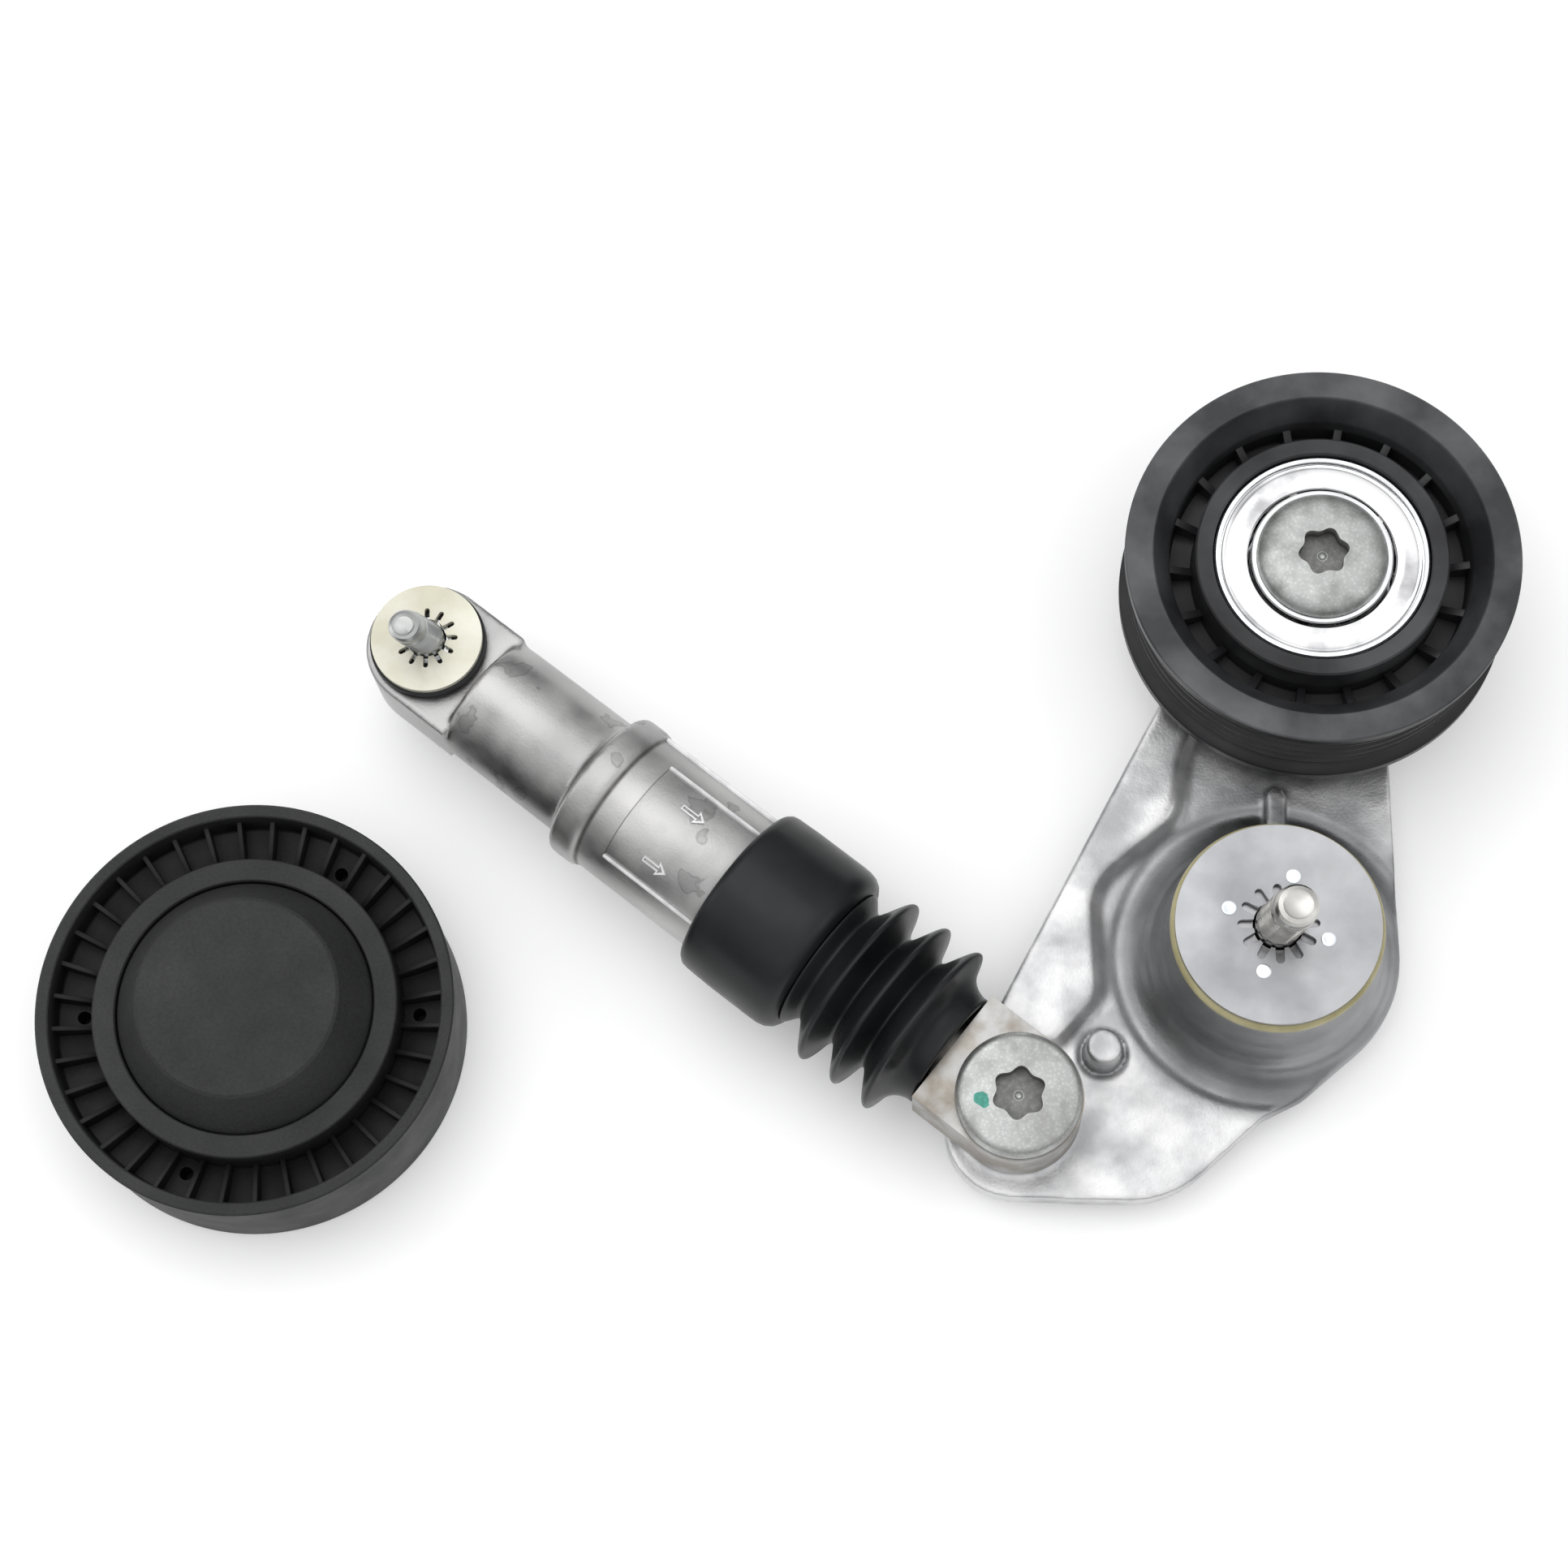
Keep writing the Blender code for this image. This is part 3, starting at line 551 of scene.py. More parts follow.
def stud_profile(radius, top, low, thread_top, pitch):
    """Rounded pilot end, then closely spaced loops for the thread, down to low."""
    profile = [
        (0, top - 0.0003), (radius * 0.50, top - 0.0003), (radius * 0.64, top),
        (radius * 0.82, top - 0.0003), (radius * 0.93, top - 0.0011), (radius * 0.955, top - 0.0026),
        (radius * 0.93, thread_top),
    ]
    height = thread_top - 0.0004
    while height > low:
        profile.append((radius, height))
        height -= pitch / 6
    return profile


def star_loop(centre, hole, reach, slots, half_width, tip_steps=5):
    """A round hole with narrow round-ended slots running outwards from it."""
    loop = []
    for k in range(slots):
        spin = Matrix.Rotation(2 * math.pi * k / slots, 2)
        start_x = math.sqrt(hole * hole - half_width * half_width)
        loop.append(spin @ Vector((start_x, -half_width)))
        for j in range(tip_steps + 1):
            turn = -math.pi / 2 + math.pi * j / tip_steps
            tip = Vector((reach - half_width + half_width * math.cos(turn), half_width * math.sin(turn)))
            loop.append(spin @ tip)
        loop.append(spin @ Vector((start_x, half_width)))
        middle_turn = Matrix.Rotation(2 * math.pi * (k + 0.5) / slots, 2)
        loop.append(middle_turn @ Vector((hole, 0)))
    return [(centre[0] + point.x, centre[1] + point.y) for point in loop]


def circle(centre, radius, steps=128):
    turns = [2 * math.pi * k / steps for k in range(steps)]
    return [(centre[0] + radius * math.cos(t), centre[1] + radius * math.sin(t)) for t in turns]


def softened(piece, width=0.0002, segments=3, angle=30):
    """Round a piece's edges a little and keep its flat faces flat."""
    applied(
        piece, "BEVEL", width=width, segments=segments,
        limit_method="ANGLE", angle_limit=math.radians(angle),
    )
    smooth(piece, 60)
    return applied(piece, "WEIGHTED_NORMAL", keep_sharp=True, weight=100)


bush_profile = [
    (0.0093, 0.0376), (0.0096, 0.0379), (0.0221, 0.0379), (0.0227, 0.0375), (0.02295, 0.0369),
    (0.0229, 0.0358), (0.0224, 0.0354), (0.0130, 0.0360), (0.0130, 0.0094), (0.0093, 0.0094),
]
bush = smooth(turned("nylon_bush", bush_profile, pivot_axis))
nylon = finish_of("cream_nylon", (0.80, 0.73, 0.46), 0.0, 0.42)
nylon.node_tree.nodes["Principled BSDF"].inputs["Specular IOR Level"].default_value = 0.5
dress(
    nylon,
    shades(nylon, grain(nylon, 120, 4), (0.30, 0.27, 0.13), (0.46, 0.42, 0.24)),
    spread(nylon, grain(nylon, 300, 3), 0.36, 0.50),
    [(grain(nylon, 900, 3), 0.12, 0.00005)],
)
clothe(bush, nylon)
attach(bush, "arm")
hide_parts("pivot_bushing")

sleeve_profile = [(0.0090, 0.0379), (0.0090, 0.0090), (0.0053, 0.0090), (0.0053, 0.0379)]
sleeve = softened(turned("pivot_steel_sleeve", sleeve_profile, pivot_axis, 64))
turned_face(sleeve, "sleeve_steel", (0.30, 0.30, 0.31), (0.20, 0.20, 0.21), pivot_axis)
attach(sleeve, "pivot_hardware")
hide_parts("pivot_sleeve")

pivot_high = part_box("pivot_bolt")[1]
stud_radius = 0.0050
pivot_profile = stud_profile(stud_radius, pivot_high.z, 0.0405, pivot_high.z - 0.0034, 0.0012)
pivot_profile += [
    (0.0050, 0.0087), (0.0106, 0.0087), (0.0111, 0.0083), (0.0112, 0.0072), (0.0105, 0.0066),
    (0.0088, 0.0060), (0.0086, 0.0014), (0.0082, 0.0012), (0.0050, 0.0012), (0.0048, 0.0050),
    (0, 0.0052),
]
pivot_stud = turned("pivot_stud", pivot_profile, pivot_axis, 72)
threaded(pivot_stud, pivot_axis, stud_radius, 0.0408, pivot_high.z - 0.0036, 0.0012, 0.00060)
leaning(pivot_stud, 0.0402, pivot_high.z, (0.0023, -0.0007))
smooth(pivot_stud, 28)
turned_face(
    pivot_stud, "zinc_stud", (0.56, 0.555, 0.53), (0.38, 0.375, 0.355), pivot_axis,
    roughness=(0.22, 0.36),
)
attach(pivot_stud, "pivot_hardware")
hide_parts("pivot_bolt")

washer_low, washer_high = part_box("pivot_washer")
washer_loops = [circle(pivot_axis, 0.0220), star_loop(pivot_axis, 0.0054, 0.0088, 12, 0.00095)]
washer = flat("star_washer", washer_loops, washer_low.z, washer_high.z - 0.0002)
softened(washer, 0.00016, 2, 60)


def beside(axis, reach, turn):
    """The point at a distance and an angle in degrees from an upright axis."""
    angle = math.radians(turn)
    return (axis.x + reach * math.cos(angle), axis.y + reach * math.sin(angle))


stake_turns, stake_reach = (71, 161, 251, 341), 0.0110
stakes = []
for turn in stake_turns:
    place = beside(pivot_axis, stake_reach, turn)
    top = washer_high.z
    stake_profile = [
        (0, top - 0.00005), (0.0010, top - 0.0001), (0.0014, top - 0.00005), (0.0016, top - 0.0001),
        (0.0017, top - 0.0003), (0.0017, top - 0.0006), (0, top - 0.0006),
    ]
    stakes.append(smooth(turned(f"washer_stake_{turn}", stake_profile, place, 32)))
sheet_metal = finish_of("washer_aluminium", (0.46, 0.465, 0.475), 1.0, 0.34)
brushed = grain(sheet_metal, 500, 4, (1.0, 0.04, 1.0))
scratches = grain(sheet_metal, 900, 6, (0.06, 1.0, 1.0))
dress(
    sheet_metal,
    shades(
        sheet_metal, grain(sheet_metal, 55, 6), (0.30, 0.305, 0.315), (0.44, 0.445, 0.455), 0.34, 0.66,
    ),
    spread(sheet_metal, grain(sheet_metal, 130, 5), 0.30, 0.44),
    [(brushed, 0.12, 0.00005), (scratches, 0.12, 0.00005), (grain(sheet_metal, 1400, 3), 0.10, 0.00004)],
)
clothe(washer, sheet_metal)
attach(washer, "pivot_hardware")
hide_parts("pivot_washer")
for stake in stakes:
    turned_face(
        stake, stake.name + "_steel", (0.70, 0.72, 0.74), (0.50, 0.53, 0.56), stake.data.vertices[0].co,
    )
    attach(stake, "pivot_hardware")

# --- Ribbed tension pulley -----------------------------------------------------------------------
# Moulded in glass-filled plastic: six V grooves between two rims, a thin web and a hub joined by
# eighteen radial ribs. Its face is satin from the mould and rubbed cloudy by handling.

pulley_low, pulley_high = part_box("ribbed_pulley")
pulley_radius = (pulley_high.x - pulley_low.x) / 2
rim_depth = 0.0028
grooves = 6
groove_pitch = (pulley_high.z - pulley_low.z - 2 * rim_depth) / grooves
pulley_profile = [
    (pulley_radius - 0.0003, pulley_high.z), (pulley_radius, pulley_high.z - 0.0003),
    (pulley_radius, pulley_high.z - rim_depth + 0.0003),
    (pulley_radius - 0.0003, pulley_high.z - rim_depth),
]
for k in range(grooves):
    top = pulley_high.z - rim_depth - k * groove_pitch
    pulley_profile += [
        (0.0412, top - 0.0002), (0.0386, top - groove_pitch / 2 + 0.0003),
        (0.0382, top - groove_pitch / 2), (0.0386, top - groove_pitch / 2 - 0.0003),
        (0.0412, top - groove_pitch + 0.0002),
    ]
pulley_profile += [
    (pulley_radius - 0.0003, pulley_low.z + rim_depth),
    (pulley_radius, pulley_low.z + rim_depth - 0.0003), (pulley_radius, pulley_low.z + 0.0003),
    (pulley_radius - 0.0003, pulley_low.z), (0.0348, pulley_low.z), (0.0336, 0.0212), (0.0331, 0.0297),
    (0.0327, 0.0300), (0.0278, 0.0300), (0.0275, 0.0297), (0.0272, 0.0274), (0.0268, 0.0270),
    (0.0215, 0.0270), (0.0215, 0.0327), (0.0238, 0.0327), (0.0238, 0.0452), (0.0241, 0.0458),
    (0.0272, 0.0458), (0.0276, 0.0454), (0.0278, 0.0338), (0.0280, 0.0336), (0.0325, 0.0336),
    (0.0328, 0.0339), (0.0330, 0.0416), (0.0333, 0.0423), (0.0364, 0.0460), (0.0367, 0.0466),
    (0.0368, pulley_high.z - 0.0002), (0.0370, pulley_high.z),
]
pulley = smooth(turned("ribbed_pulley_shell", pulley_profile, pulley_axis, 160), 24)


def spokes(wheel, name, count, axis, place, size, slope, bevel, half_step=0):
    """Model one rib, its top lowered inside and outside by slope, and copy it about an axis."""
    bpy.ops.object.select_all(action="DESELECT")
    bpy.ops.mesh.primitive_cube_add(size=1, location=place, scale=size)
    rib = bpy.context.object
    bpy.ops.object.transform_apply(location=True, rotation=True, scale=True)
    for vertex in rib.data.vertices:
        if vertex.co.z > place[2]:
            vertex.co.z -= slope[0] if vertex.co.x < place[0] else slope[1]
    applied(rib, "BEVEL", width=bevel, segments=2)
    smooth(rib)
    pattern = rib.data.copy()
    for k in range(count):
        if k > 0:
            rib = bpy.data.objects.new(name, pattern.copy())
            bpy.context.scene.collection.objects.link(rib)
        rib.name = f"{name}_{k:02d}"
        turn = Matrix.Rotation(2 * math.pi * (k + half_step) / count, 4, "Z")
        rib.data.transform(Matrix.Translation((axis.x, axis.y, 0)) @ turn)
        rib.parent = wheel


spokes(
    pulley, "pulley_rib", 18, pulley_axis,
    place=(0.0303, 0, 0.0358), size=(0.0060, 0.0018, 0.0062), slope=(0.0024, 0), bevel=0.0002,
)

glass_plastic = finish_of("pulley_plastic", (0.045, 0.046, 0.048), 0.0, 0.42)
glass_plastic.node_tree.nodes["Principled BSDF"].inputs["Specular IOR Level"].default_value = 0.35
cloud = grain(glass_plastic, 48, 7)
rubbed = shades(glass_plastic, cloud, (0.030, 0.031, 0.033), (0.110, 0.112, 0.116), 0.40, 0.66)
# Below the rubbed top face the plastic is painted darker, as painted shade in the chamfer and the recess.
recess_painted_shading = shades(glass_plastic, grain(glass_plastic, 90, 5), (0.009, 0.009, 0.010), (0.020, 0.020, 0.022))
on_top = spread(
    glass_plastic, height_of(glass_plastic), 0.0, 1.0, pulley_high.z - 0.0012, pulley_high.z - 0.0003,
)
on_rim = spread(glass_plastic, distance_from(glass_plastic, pulley_axis), 0.0, 1.0, 0.0364, 0.0368)
# Rib tops and the hub's top down in the recess are painted lighter: painted light on faces turned up.
top_light_mask = joined(
    glass_plastic, spread(glass_plastic, height_of(glass_plastic), 0.0, 0.7, 0.0384, 0.0387),
    spread(glass_plastic, distance_from(glass_plastic, pulley_axis), 1.0, 0.0, 0.0368, 0.0376),
)
painted_top_light = shades(glass_plastic, cloud, (0.014, 0.0145, 0.0155), (0.075, 0.077, 0.080), 0.36, 0.66)
recess_painted_shading = mixed(glass_plastic, top_light_mask, recess_painted_shading, painted_top_light)
dress(
    glass_plastic,
    mixed(glass_plastic, joined(glass_plastic, on_top, on_rim), recess_painted_shading, rubbed),
    spread(glass_plastic, grain(glass_plastic, 60, 5), 0.32, 0.54),
    [
        (rings(glass_plastic, pulley_axis, 3200), 0.10, 0.00006),
        (grain(glass_plastic, 1800, 3), 0.22, 0.00005),
    ],
)
clothe(pulley, glass_plastic)
for rib in pulley.children:
    clothe(rib, glass_plastic)
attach(pulley, "tension_pulley")
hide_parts("ribbed_pulley")

# --- Ball bearings -------------------------------------------------------------------------------
# Each pulley runs on a sealed ball bearing: two ground rings, a pressed cage of balls, and a shield or
# rubber seal on each side. The tension pulley's shields are polished steel, the idler's are rubber.


def bearing_rings(prefix, centre, outer, bore, low, high, pitch, ball_radius):
    """The outer and inner ring's profiles, each with its raceway and its shield seats."""
    halfway = (low + high) / 2
    race, edge, recess, seat = 0.0010, 0.0026, 0.0014, outer - 0.0013
    shoulder, groove = outer - 0.0030, pitch + ball_radius + 0.0006
    outside = turned(prefix + "_outer_ring", [
        (outer - 0.0004, high), (outer, high - 0.0004), (outer, low + 0.0004), (outer - 0.0004, low),
        (seat, low), (seat, low + recess), (shoulder, low + recess), (shoulder, halfway - edge),
        (groove, halfway - race), (groove, halfway + race), (shoulder, halfway + edge),
        (shoulder, high - recess), (seat, high - recess), (seat, high - 0.0001), (seat + 0.0001, high),
    ], centre, 96)
    shoulder, groove = pitch - 0.0027, pitch - ball_radius - 0.0006
    inside = turned(prefix + "_inner_ring", [
        (shoulder, high - 0.0003), (shoulder, halfway + edge), (groove, halfway + race),
        (groove, halfway - race), (shoulder, halfway - edge), (shoulder, low + 0.0003),
        (shoulder - 0.0003, low), (bore + 0.0004, low), (bore, low + 0.0004), (bore, high - 0.0004),
        (bore + 0.0004, high), (shoulder - 0.0003, high),
    ], centre, 96)
    return smooth(outside), smooth(inside)


def shield_ring(name, centre, inner, outer, low, high, crown):
    """A pressed shield: rolled outer edge, shallow crown, turned-down inner edge."""
    profile = [
        (outer - 0.00025, high), (outer, high - 0.0002), (outer, low), (inner, low),
        (inner, high - 0.0003), (inner + 0.0003, high), (inner + 0.0011, high + crown),
        (outer - 0.0014, high + crown), (outer - 0.0008, high - 0.0001), (outer - 0.0005, high),
    ]
    return smooth(turned(name, profile, centre, 128), 30)


outer_ring, inner_ring = bearing_rings(
    "tension", pulley_axis,
    outer=0.0235, bore=0.0125, low=0.0330, high=0.0450, pitch=0.0182, ball_radius=0.0031,
)
for ring, body, node in (
    (outer_ring, "tension_pulley", "tension_bearing_outer"),
    (inner_ring, "arm", "tension_bearing_inner"),
):
    turned_face(
        ring, ring.name + "_steel", (0.80, 0.81, 0.82), (0.68, 0.69, 0.70), pulley_axis,
        roughness=(0.12, 0.2),
    )
    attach(ring, body)
    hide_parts(node)
for side, crown in (("upper", 0.0002), ("lower", 0)):
    low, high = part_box(f"tension_shield_{side}")
    shield_name = f"tension_{side}_shield"
    shield = shield_ring(shield_name, pulley_axis, 0.0161, 0.0219, low.z, high.z - crown, crown)
    polish = finish_of(f"polished_{side}_shield", (0.93, 0.93, 0.94), 1.0, 0.10)
    dress(
        polish,
        shades(polish, grain(polish, 70, 5), (0.50, 0.50, 0.51), (0.90, 0.90, 0.90), 0.38, 0.54),
        spread(polish, grain(polish, 200, 3), 0.08, 0.17),
        [(rings(polish, pulley_axis, 2400), 0.05, 0.00004)],
    )
    clothe(shield, polish)
    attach(shield, "tension_pulley")
    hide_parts(f"tension_shield_{side}")


def better(node, made):
    """Give a CAD node that stays as it is a better material."""
    for material_slot in frame["nodes"][node].material_slots:
        material_slot.material = made


def clouded(made, dark, light, roughness, scales=(300, 300, 1500), pits=(0.15, 0.00004), at=(0.3, 0.7)):
    """Cloud a finish between two tones and two roughnesses, with fine pits."""
    tone_scale, dull_scale, pit_scale = scales
    return dress(
        made,
        shades(made, grain(made, tone_scale, 4), dark, light, at[0], at[1]),
        spread(made, grain(made, dull_scale, 3), roughness[0], roughness[1]),
        [(grain(made, pit_scale, 3), pits[0], pits[1])],
    )


cage_steel = finish_of("cage_steel", (0.62, 0.60, 0.56), 1.0, 0.30)
clouded(cage_steel, (0.42, 0.40, 0.37), (0.70, 0.68, 0.64), (0.22, 0.40), scales=(300, 400, 1600))
better("tension_bearing_cage", cage_steel)
better("idler_bearing_cage", cage_steel)

# --- Pulley bolt and spacer ----------------------------------------------------------------------
# A flat round head with a rounded rim and a six-lobed socket, in grey zinc flake with a mottled,
# slightly sparkling skin. Its shank goes through the bearing and the spacer into the arm.


def lobed(centre, radius, wave, lobes=6, turn=0.0, steps=96):
    loop = []
    for k in range(steps):
        angle = 2 * math.pi * k / steps
        out = radius + wave * math.cos(lobes * (angle - turn))
        loop.append((centre[0] + out * math.cos(angle), centre[1] + out * math.sin(angle)))
    return loop


def socketed(head, centre, top, radius, turn, depth=0.0034):
    """Sink a six-lobed socket with a shallow dimple at its centre."""
    socket_loop = lobed(centre, radius * 0.91, radius * 0.09, 6, turn)
    cut(head, flat("socket", [socket_loop], top - depth, top + 0.002))
    floor_height = top - depth
    dimple = turned("dimple", [
        (0, top), (0.0010, top), (0.0010, floor_height - 0.0001), (0.0007, floor_height - 0.0005),
        (0, floor_height - 0.0008),
    ], centre, 32)
    return cut(head, dimple)


def zinc_flake(name, centre, stain=(0.31, 0.32, 0.305), socket=None):
    """Grey zinc flake: bright specks and dull clouds over fine turning marks, painted shade in the
    socket.
    """
    made = finish_of(name, (0.45, 0.46, 0.45), 0.9, 0.42)
    specks = part_node(made, "ShaderNodeTexVoronoi")
    specks.inputs["Scale"].default_value = 1300
    place = part_node(made, "ShaderNodeTexCoord")
    made.node_tree.links.new(place.outputs["Object"], specks.inputs["Vector"])
    cloudy = shades(made, grain(made, 170, 7), stain, (0.47, 0.485, 0.47), 0.34, 0.56)
    if socket is not None:
        reach, top = socket
        # The socket's walls and floor are painted darker as painted shade; the centre dimple is left out
        # of it.
        shaded = spread(made, height_of(made), 0.85, 0.0, top - 0.0026, top - 0.0004)
        inside = spread(made, distance_from(made, centre), 1.0, 0.0, reach, reach + 0.0002)
        socket_painted_shade = shades(made, grain(made, 500, 3), (0.08, 0.08, 0.076), (0.15, 0.15, 0.142))
        unshaded_dimple = spread(made, distance_from(made, centre), 1.0, 0.0, 0.0010, 0.0012)
        socket_painted_shade = mixed(made, unshaded_dimple, socket_painted_shade, cloudy)
        cloudy = mixed(made, joined(made, shaded, inside), cloudy, socket_painted_shade)
    sparkle = shades(
        made, specks.outputs["Distance"], (1.12, 1.12, 1.12), (0.90, 0.90, 0.90), 0.05, 0.55,
    )
    dress(
        made,
        mixed(made, 1.0, cloudy, sparkle, "MULTIPLY"),
        spread(made, grain(made, 260, 5), 0.34, 0.56),
        [(specks.outputs["Distance"], 0.16, 0.00008), (grain(made, 420, 5), 0.30, 0.00012),
         (rings(made, centre, 2200), 0.05, 0.00005)],
    )
    return made


bolt_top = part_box("pulley_bolt")[1].z
pulley_bolt = turned("pulley_bolt_head", [
    (0, bolt_top - 0.0001), (0.0095, bolt_top - 0.0001), (0.0110, bolt_top - 0.0003),
    (0.0124, bolt_top - 0.0008), (0.0134, bolt_top - 0.0015), (0.0140, bolt_top - 0.0022),
    (0.0143, bolt_top - 0.0029), (0.0143, 0.0454), (0.0141, 0.0453), (0.0122, 0.0453), (0.0122, 0.0330),
    (0.0050, 0.0330), (0.0050, 0.0030), (0.0042, 0.0020), (0, 0.0020),
], pulley_axis, 128)
socketed(pulley_bolt, pulley_axis, bolt_top - 0.0001, 0.0056, math.radians(8))
smooth(pulley_bolt, 30)
clothe(pulley_bolt, zinc_flake("pulley_bolt_zinc", pulley_axis, socket=(0.0056, bolt_top)))
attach(pulley_bolt, "arm")
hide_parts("pulley_bolt")

spacer_profile = [
    (0.0147, 0.0327), (0.0150, 0.0324), (0.0150, 0.0233), (0.0147, 0.0230), (0.0053, 0.0230),
    (0.0053, 0.0327),
]
spacer = smooth(turned("pulley_spacer_ring", spacer_profile, pulley_axis))
clothe(spacer, zinc_flake("spacer_zinc", pulley_axis))
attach(spacer, "arm")
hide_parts("pulley_spacer")

# --- Lower eye: block, bush and bolt -------------------------------------------------------------
# The strut's lower eye is an aluminium block, square towards the strut and round about the bolt. Its
# milled top is stained straw and brown by oil, and the bolt's flat zinc head nearly covers its round end.

strut_turn = math.radians(141.3)
strut_along = Vector((math.cos(strut_turn), math.sin(strut_turn), 0))
strut_up = Vector((0, 0, 1))
strut_across = strut_up.cross(strut_along)
strut_height = 0.0220
strut_start = Vector((eye_axis.x, eye_axis.y, strut_height))
strut_turned = Matrix((strut_across, strut_up, strut_along)).transposed().to_4x4()
onto_strut = Matrix.Translation(strut_start) @ strut_turned
beside_eye = Matrix.Translation((eye_axis.x, eye_axis.y, 0)) @ Matrix.Rotation(strut_turn, 4, "Z")


def laid(piece):
    """Lay a piece made upright about the origin along the strut, its zero at the lower eye."""
    piece.data.transform(onto_strut)
    piece.data.update()
    return piece


def tongue(start, eye, half_width, steps=40):
    """A strap along X that is square at start and round about the eye."""
    side = math.copysign(1, eye - start)
    loop = [(start, -half_width), (start, half_width)]
    for k in range(steps + 1):
        angle = math.pi / 2 - math.pi * k / steps
        loop.append((eye + side * half_width * math.cos(angle), half_width * math.sin(angle)))
    return loop


def reach_along(made, heading):
    """How far each point lies along a heading."""
    place = part_node(made, "ShaderNodeTexCoord")
    dot = part_node(made, "ShaderNodeVectorMath", operation="DOT_PRODUCT")
    dot.inputs[1].default_value = heading
    made.node_tree.links.new(place.outputs["Object"], dot.inputs[0])
    return dot.outputs["Value"]


block_low, block_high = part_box("lower_eye_block")
eye_block = flat("eye_block", [tongue(0.0179, 0, 0.0140)], block_low.z, block_high.z)
eye_block.data.transform(beside_eye)
cut(eye_block, laid(rod("block_neck", 0.0066, 0.0140, 0.0236, (0, 0), 48)), "UNION")
cut(eye_block, laid(rod("block_socket", 0.0053, 0.0156, 0.0300, (0, 0), 48)))
cut(eye_block, rod("block_bore", 0.0073, 0, 0.04, eye_axis, 64))
softened(eye_block, 0.00045, 3, 40)
milled = finish_of("milled_aluminium", (0.48, 0.48, 0.475), 1.0, 0.34)
straw = shades(milled, grain(milled, 75, 7), (0.24, 0.218, 0.19), (0.40, 0.40, 0.395), 0.38, 0.58)
oil = shades(milled, grain(milled, 150, 8), (0.86, 0.82, 0.76), (1.0, 1.0, 1.0), 0.36, 0.58)
dress(
    milled,
    mixed(milled, 1.0, straw, oil, "MULTIPLY"),
    spread(milled, grain(milled, 110, 5), 0.28, 0.44),
    [(grain(milled, 420, 3, (1.0, 0.10, 1.0)), 0.07, 0.00006), (grain(milled, 1300, 3), 0.18, 0.00005)],
)
clothe(eye_block, milled)
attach(eye_block, "strut_rod")
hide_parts("lower_eye_block")

eye_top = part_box("eye_bolt")[1].z
eye_bolt = turned("eye_bolt_head", [
    (0, eye_top - 0.0001), (0.0118, eye_top - 0.0001), (0.0125, eye_top - 0.0003),
    (0.0131, eye_top - 0.0008), (0.0134, eye_top - 0.0014), (0.0136, eye_top - 0.0018),
    (0.0136, 0.0295), (0.0134, 0.0293), (0.0050, 0.0293), (0.0050, 0.0030), (0.0042, 0.0020),
    (0, 0.0020),
], eye_axis, 128)
socketed(eye_bolt, eye_axis, eye_top - 0.0001, 0.0059, math.radians(22), 0.0030)
smooth(eye_bolt, 30)
eye_zinc = zinc_flake("eye_bolt_zinc", eye_axis, (0.36, 0.365, 0.355), (0.0061, eye_top))
green_place = (eye_axis.x - 0.0079, eye_axis.y - 0.0013)
wobble = spread(eye_zinc, grain(eye_zinc, 420, 4), -0.0006, 0.0006)
reach = joined(eye_zinc, distance_from(eye_zinc, green_place), wobble, "ADD")
dab = spread(eye_zinc, reach, 1.0, 0.0, 0.00145, 0.00165)
eye_shader = eye_zinc.node_tree.nodes["Principled BSDF"]
bare = eye_shader.inputs["Base Color"].links[0].from_socket
paint_colour = shades(eye_zinc, grain(eye_zinc, 900, 4), (0.030, 0.22, 0.17), (0.07, 0.36, 0.28))
eye_zinc.node_tree.links.new(mixed(eye_zinc, dab, bare, paint_colour), eye_shader.inputs["Base Color"])
dull = part_node(eye_zinc, "ShaderNodeMath", operation="MULTIPLY_ADD")
dull.inputs[1].default_value = -0.8
dull.inputs[2].default_value = 0.9
eye_zinc.node_tree.links.new(dab, dull.inputs[0])
eye_zinc.node_tree.links.new(dull.outputs[0], eye_shader.inputs["Metallic"])
clothe(eye_bolt, eye_zinc)
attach(eye_bolt, "arm")
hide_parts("eye_bolt")

bush_steel = finish_of("bush_steel", (0.40, 0.40, 0.41), 1.0, 0.35)
clouded(bush_steel, (0.28, 0.28, 0.29), (0.50, 0.50, 0.51), (0.28, 0.45), pits=(0.12, 0.00004))
better("eye_bush", bush_steel)

# --- Inside the strut: rod, spring and tubes -----------------------------------------------------
# A hard-chromed rod with its piston screws into the eye block. The coil spring stands round the
# pressure tube between a seat on the rod and the cylinder's floor. The boot hides all of it.

chrome = finish_of("chromed_steel", (0.76, 0.77, 0.78), 1.0, 0.14)
clouded(
    chrome, (0.64, 0.65, 0.66), (0.82, 0.83, 0.84), (0.10, 0.22),
    scales=(200, 350, 1800), pits=(0.06, 0.00003),
)
for node in ("piston_rod", "pressure_tube"):
    better(node, chrome)
better("spring_seat", zinc_flake("spring_seat_zinc", eye_axis))

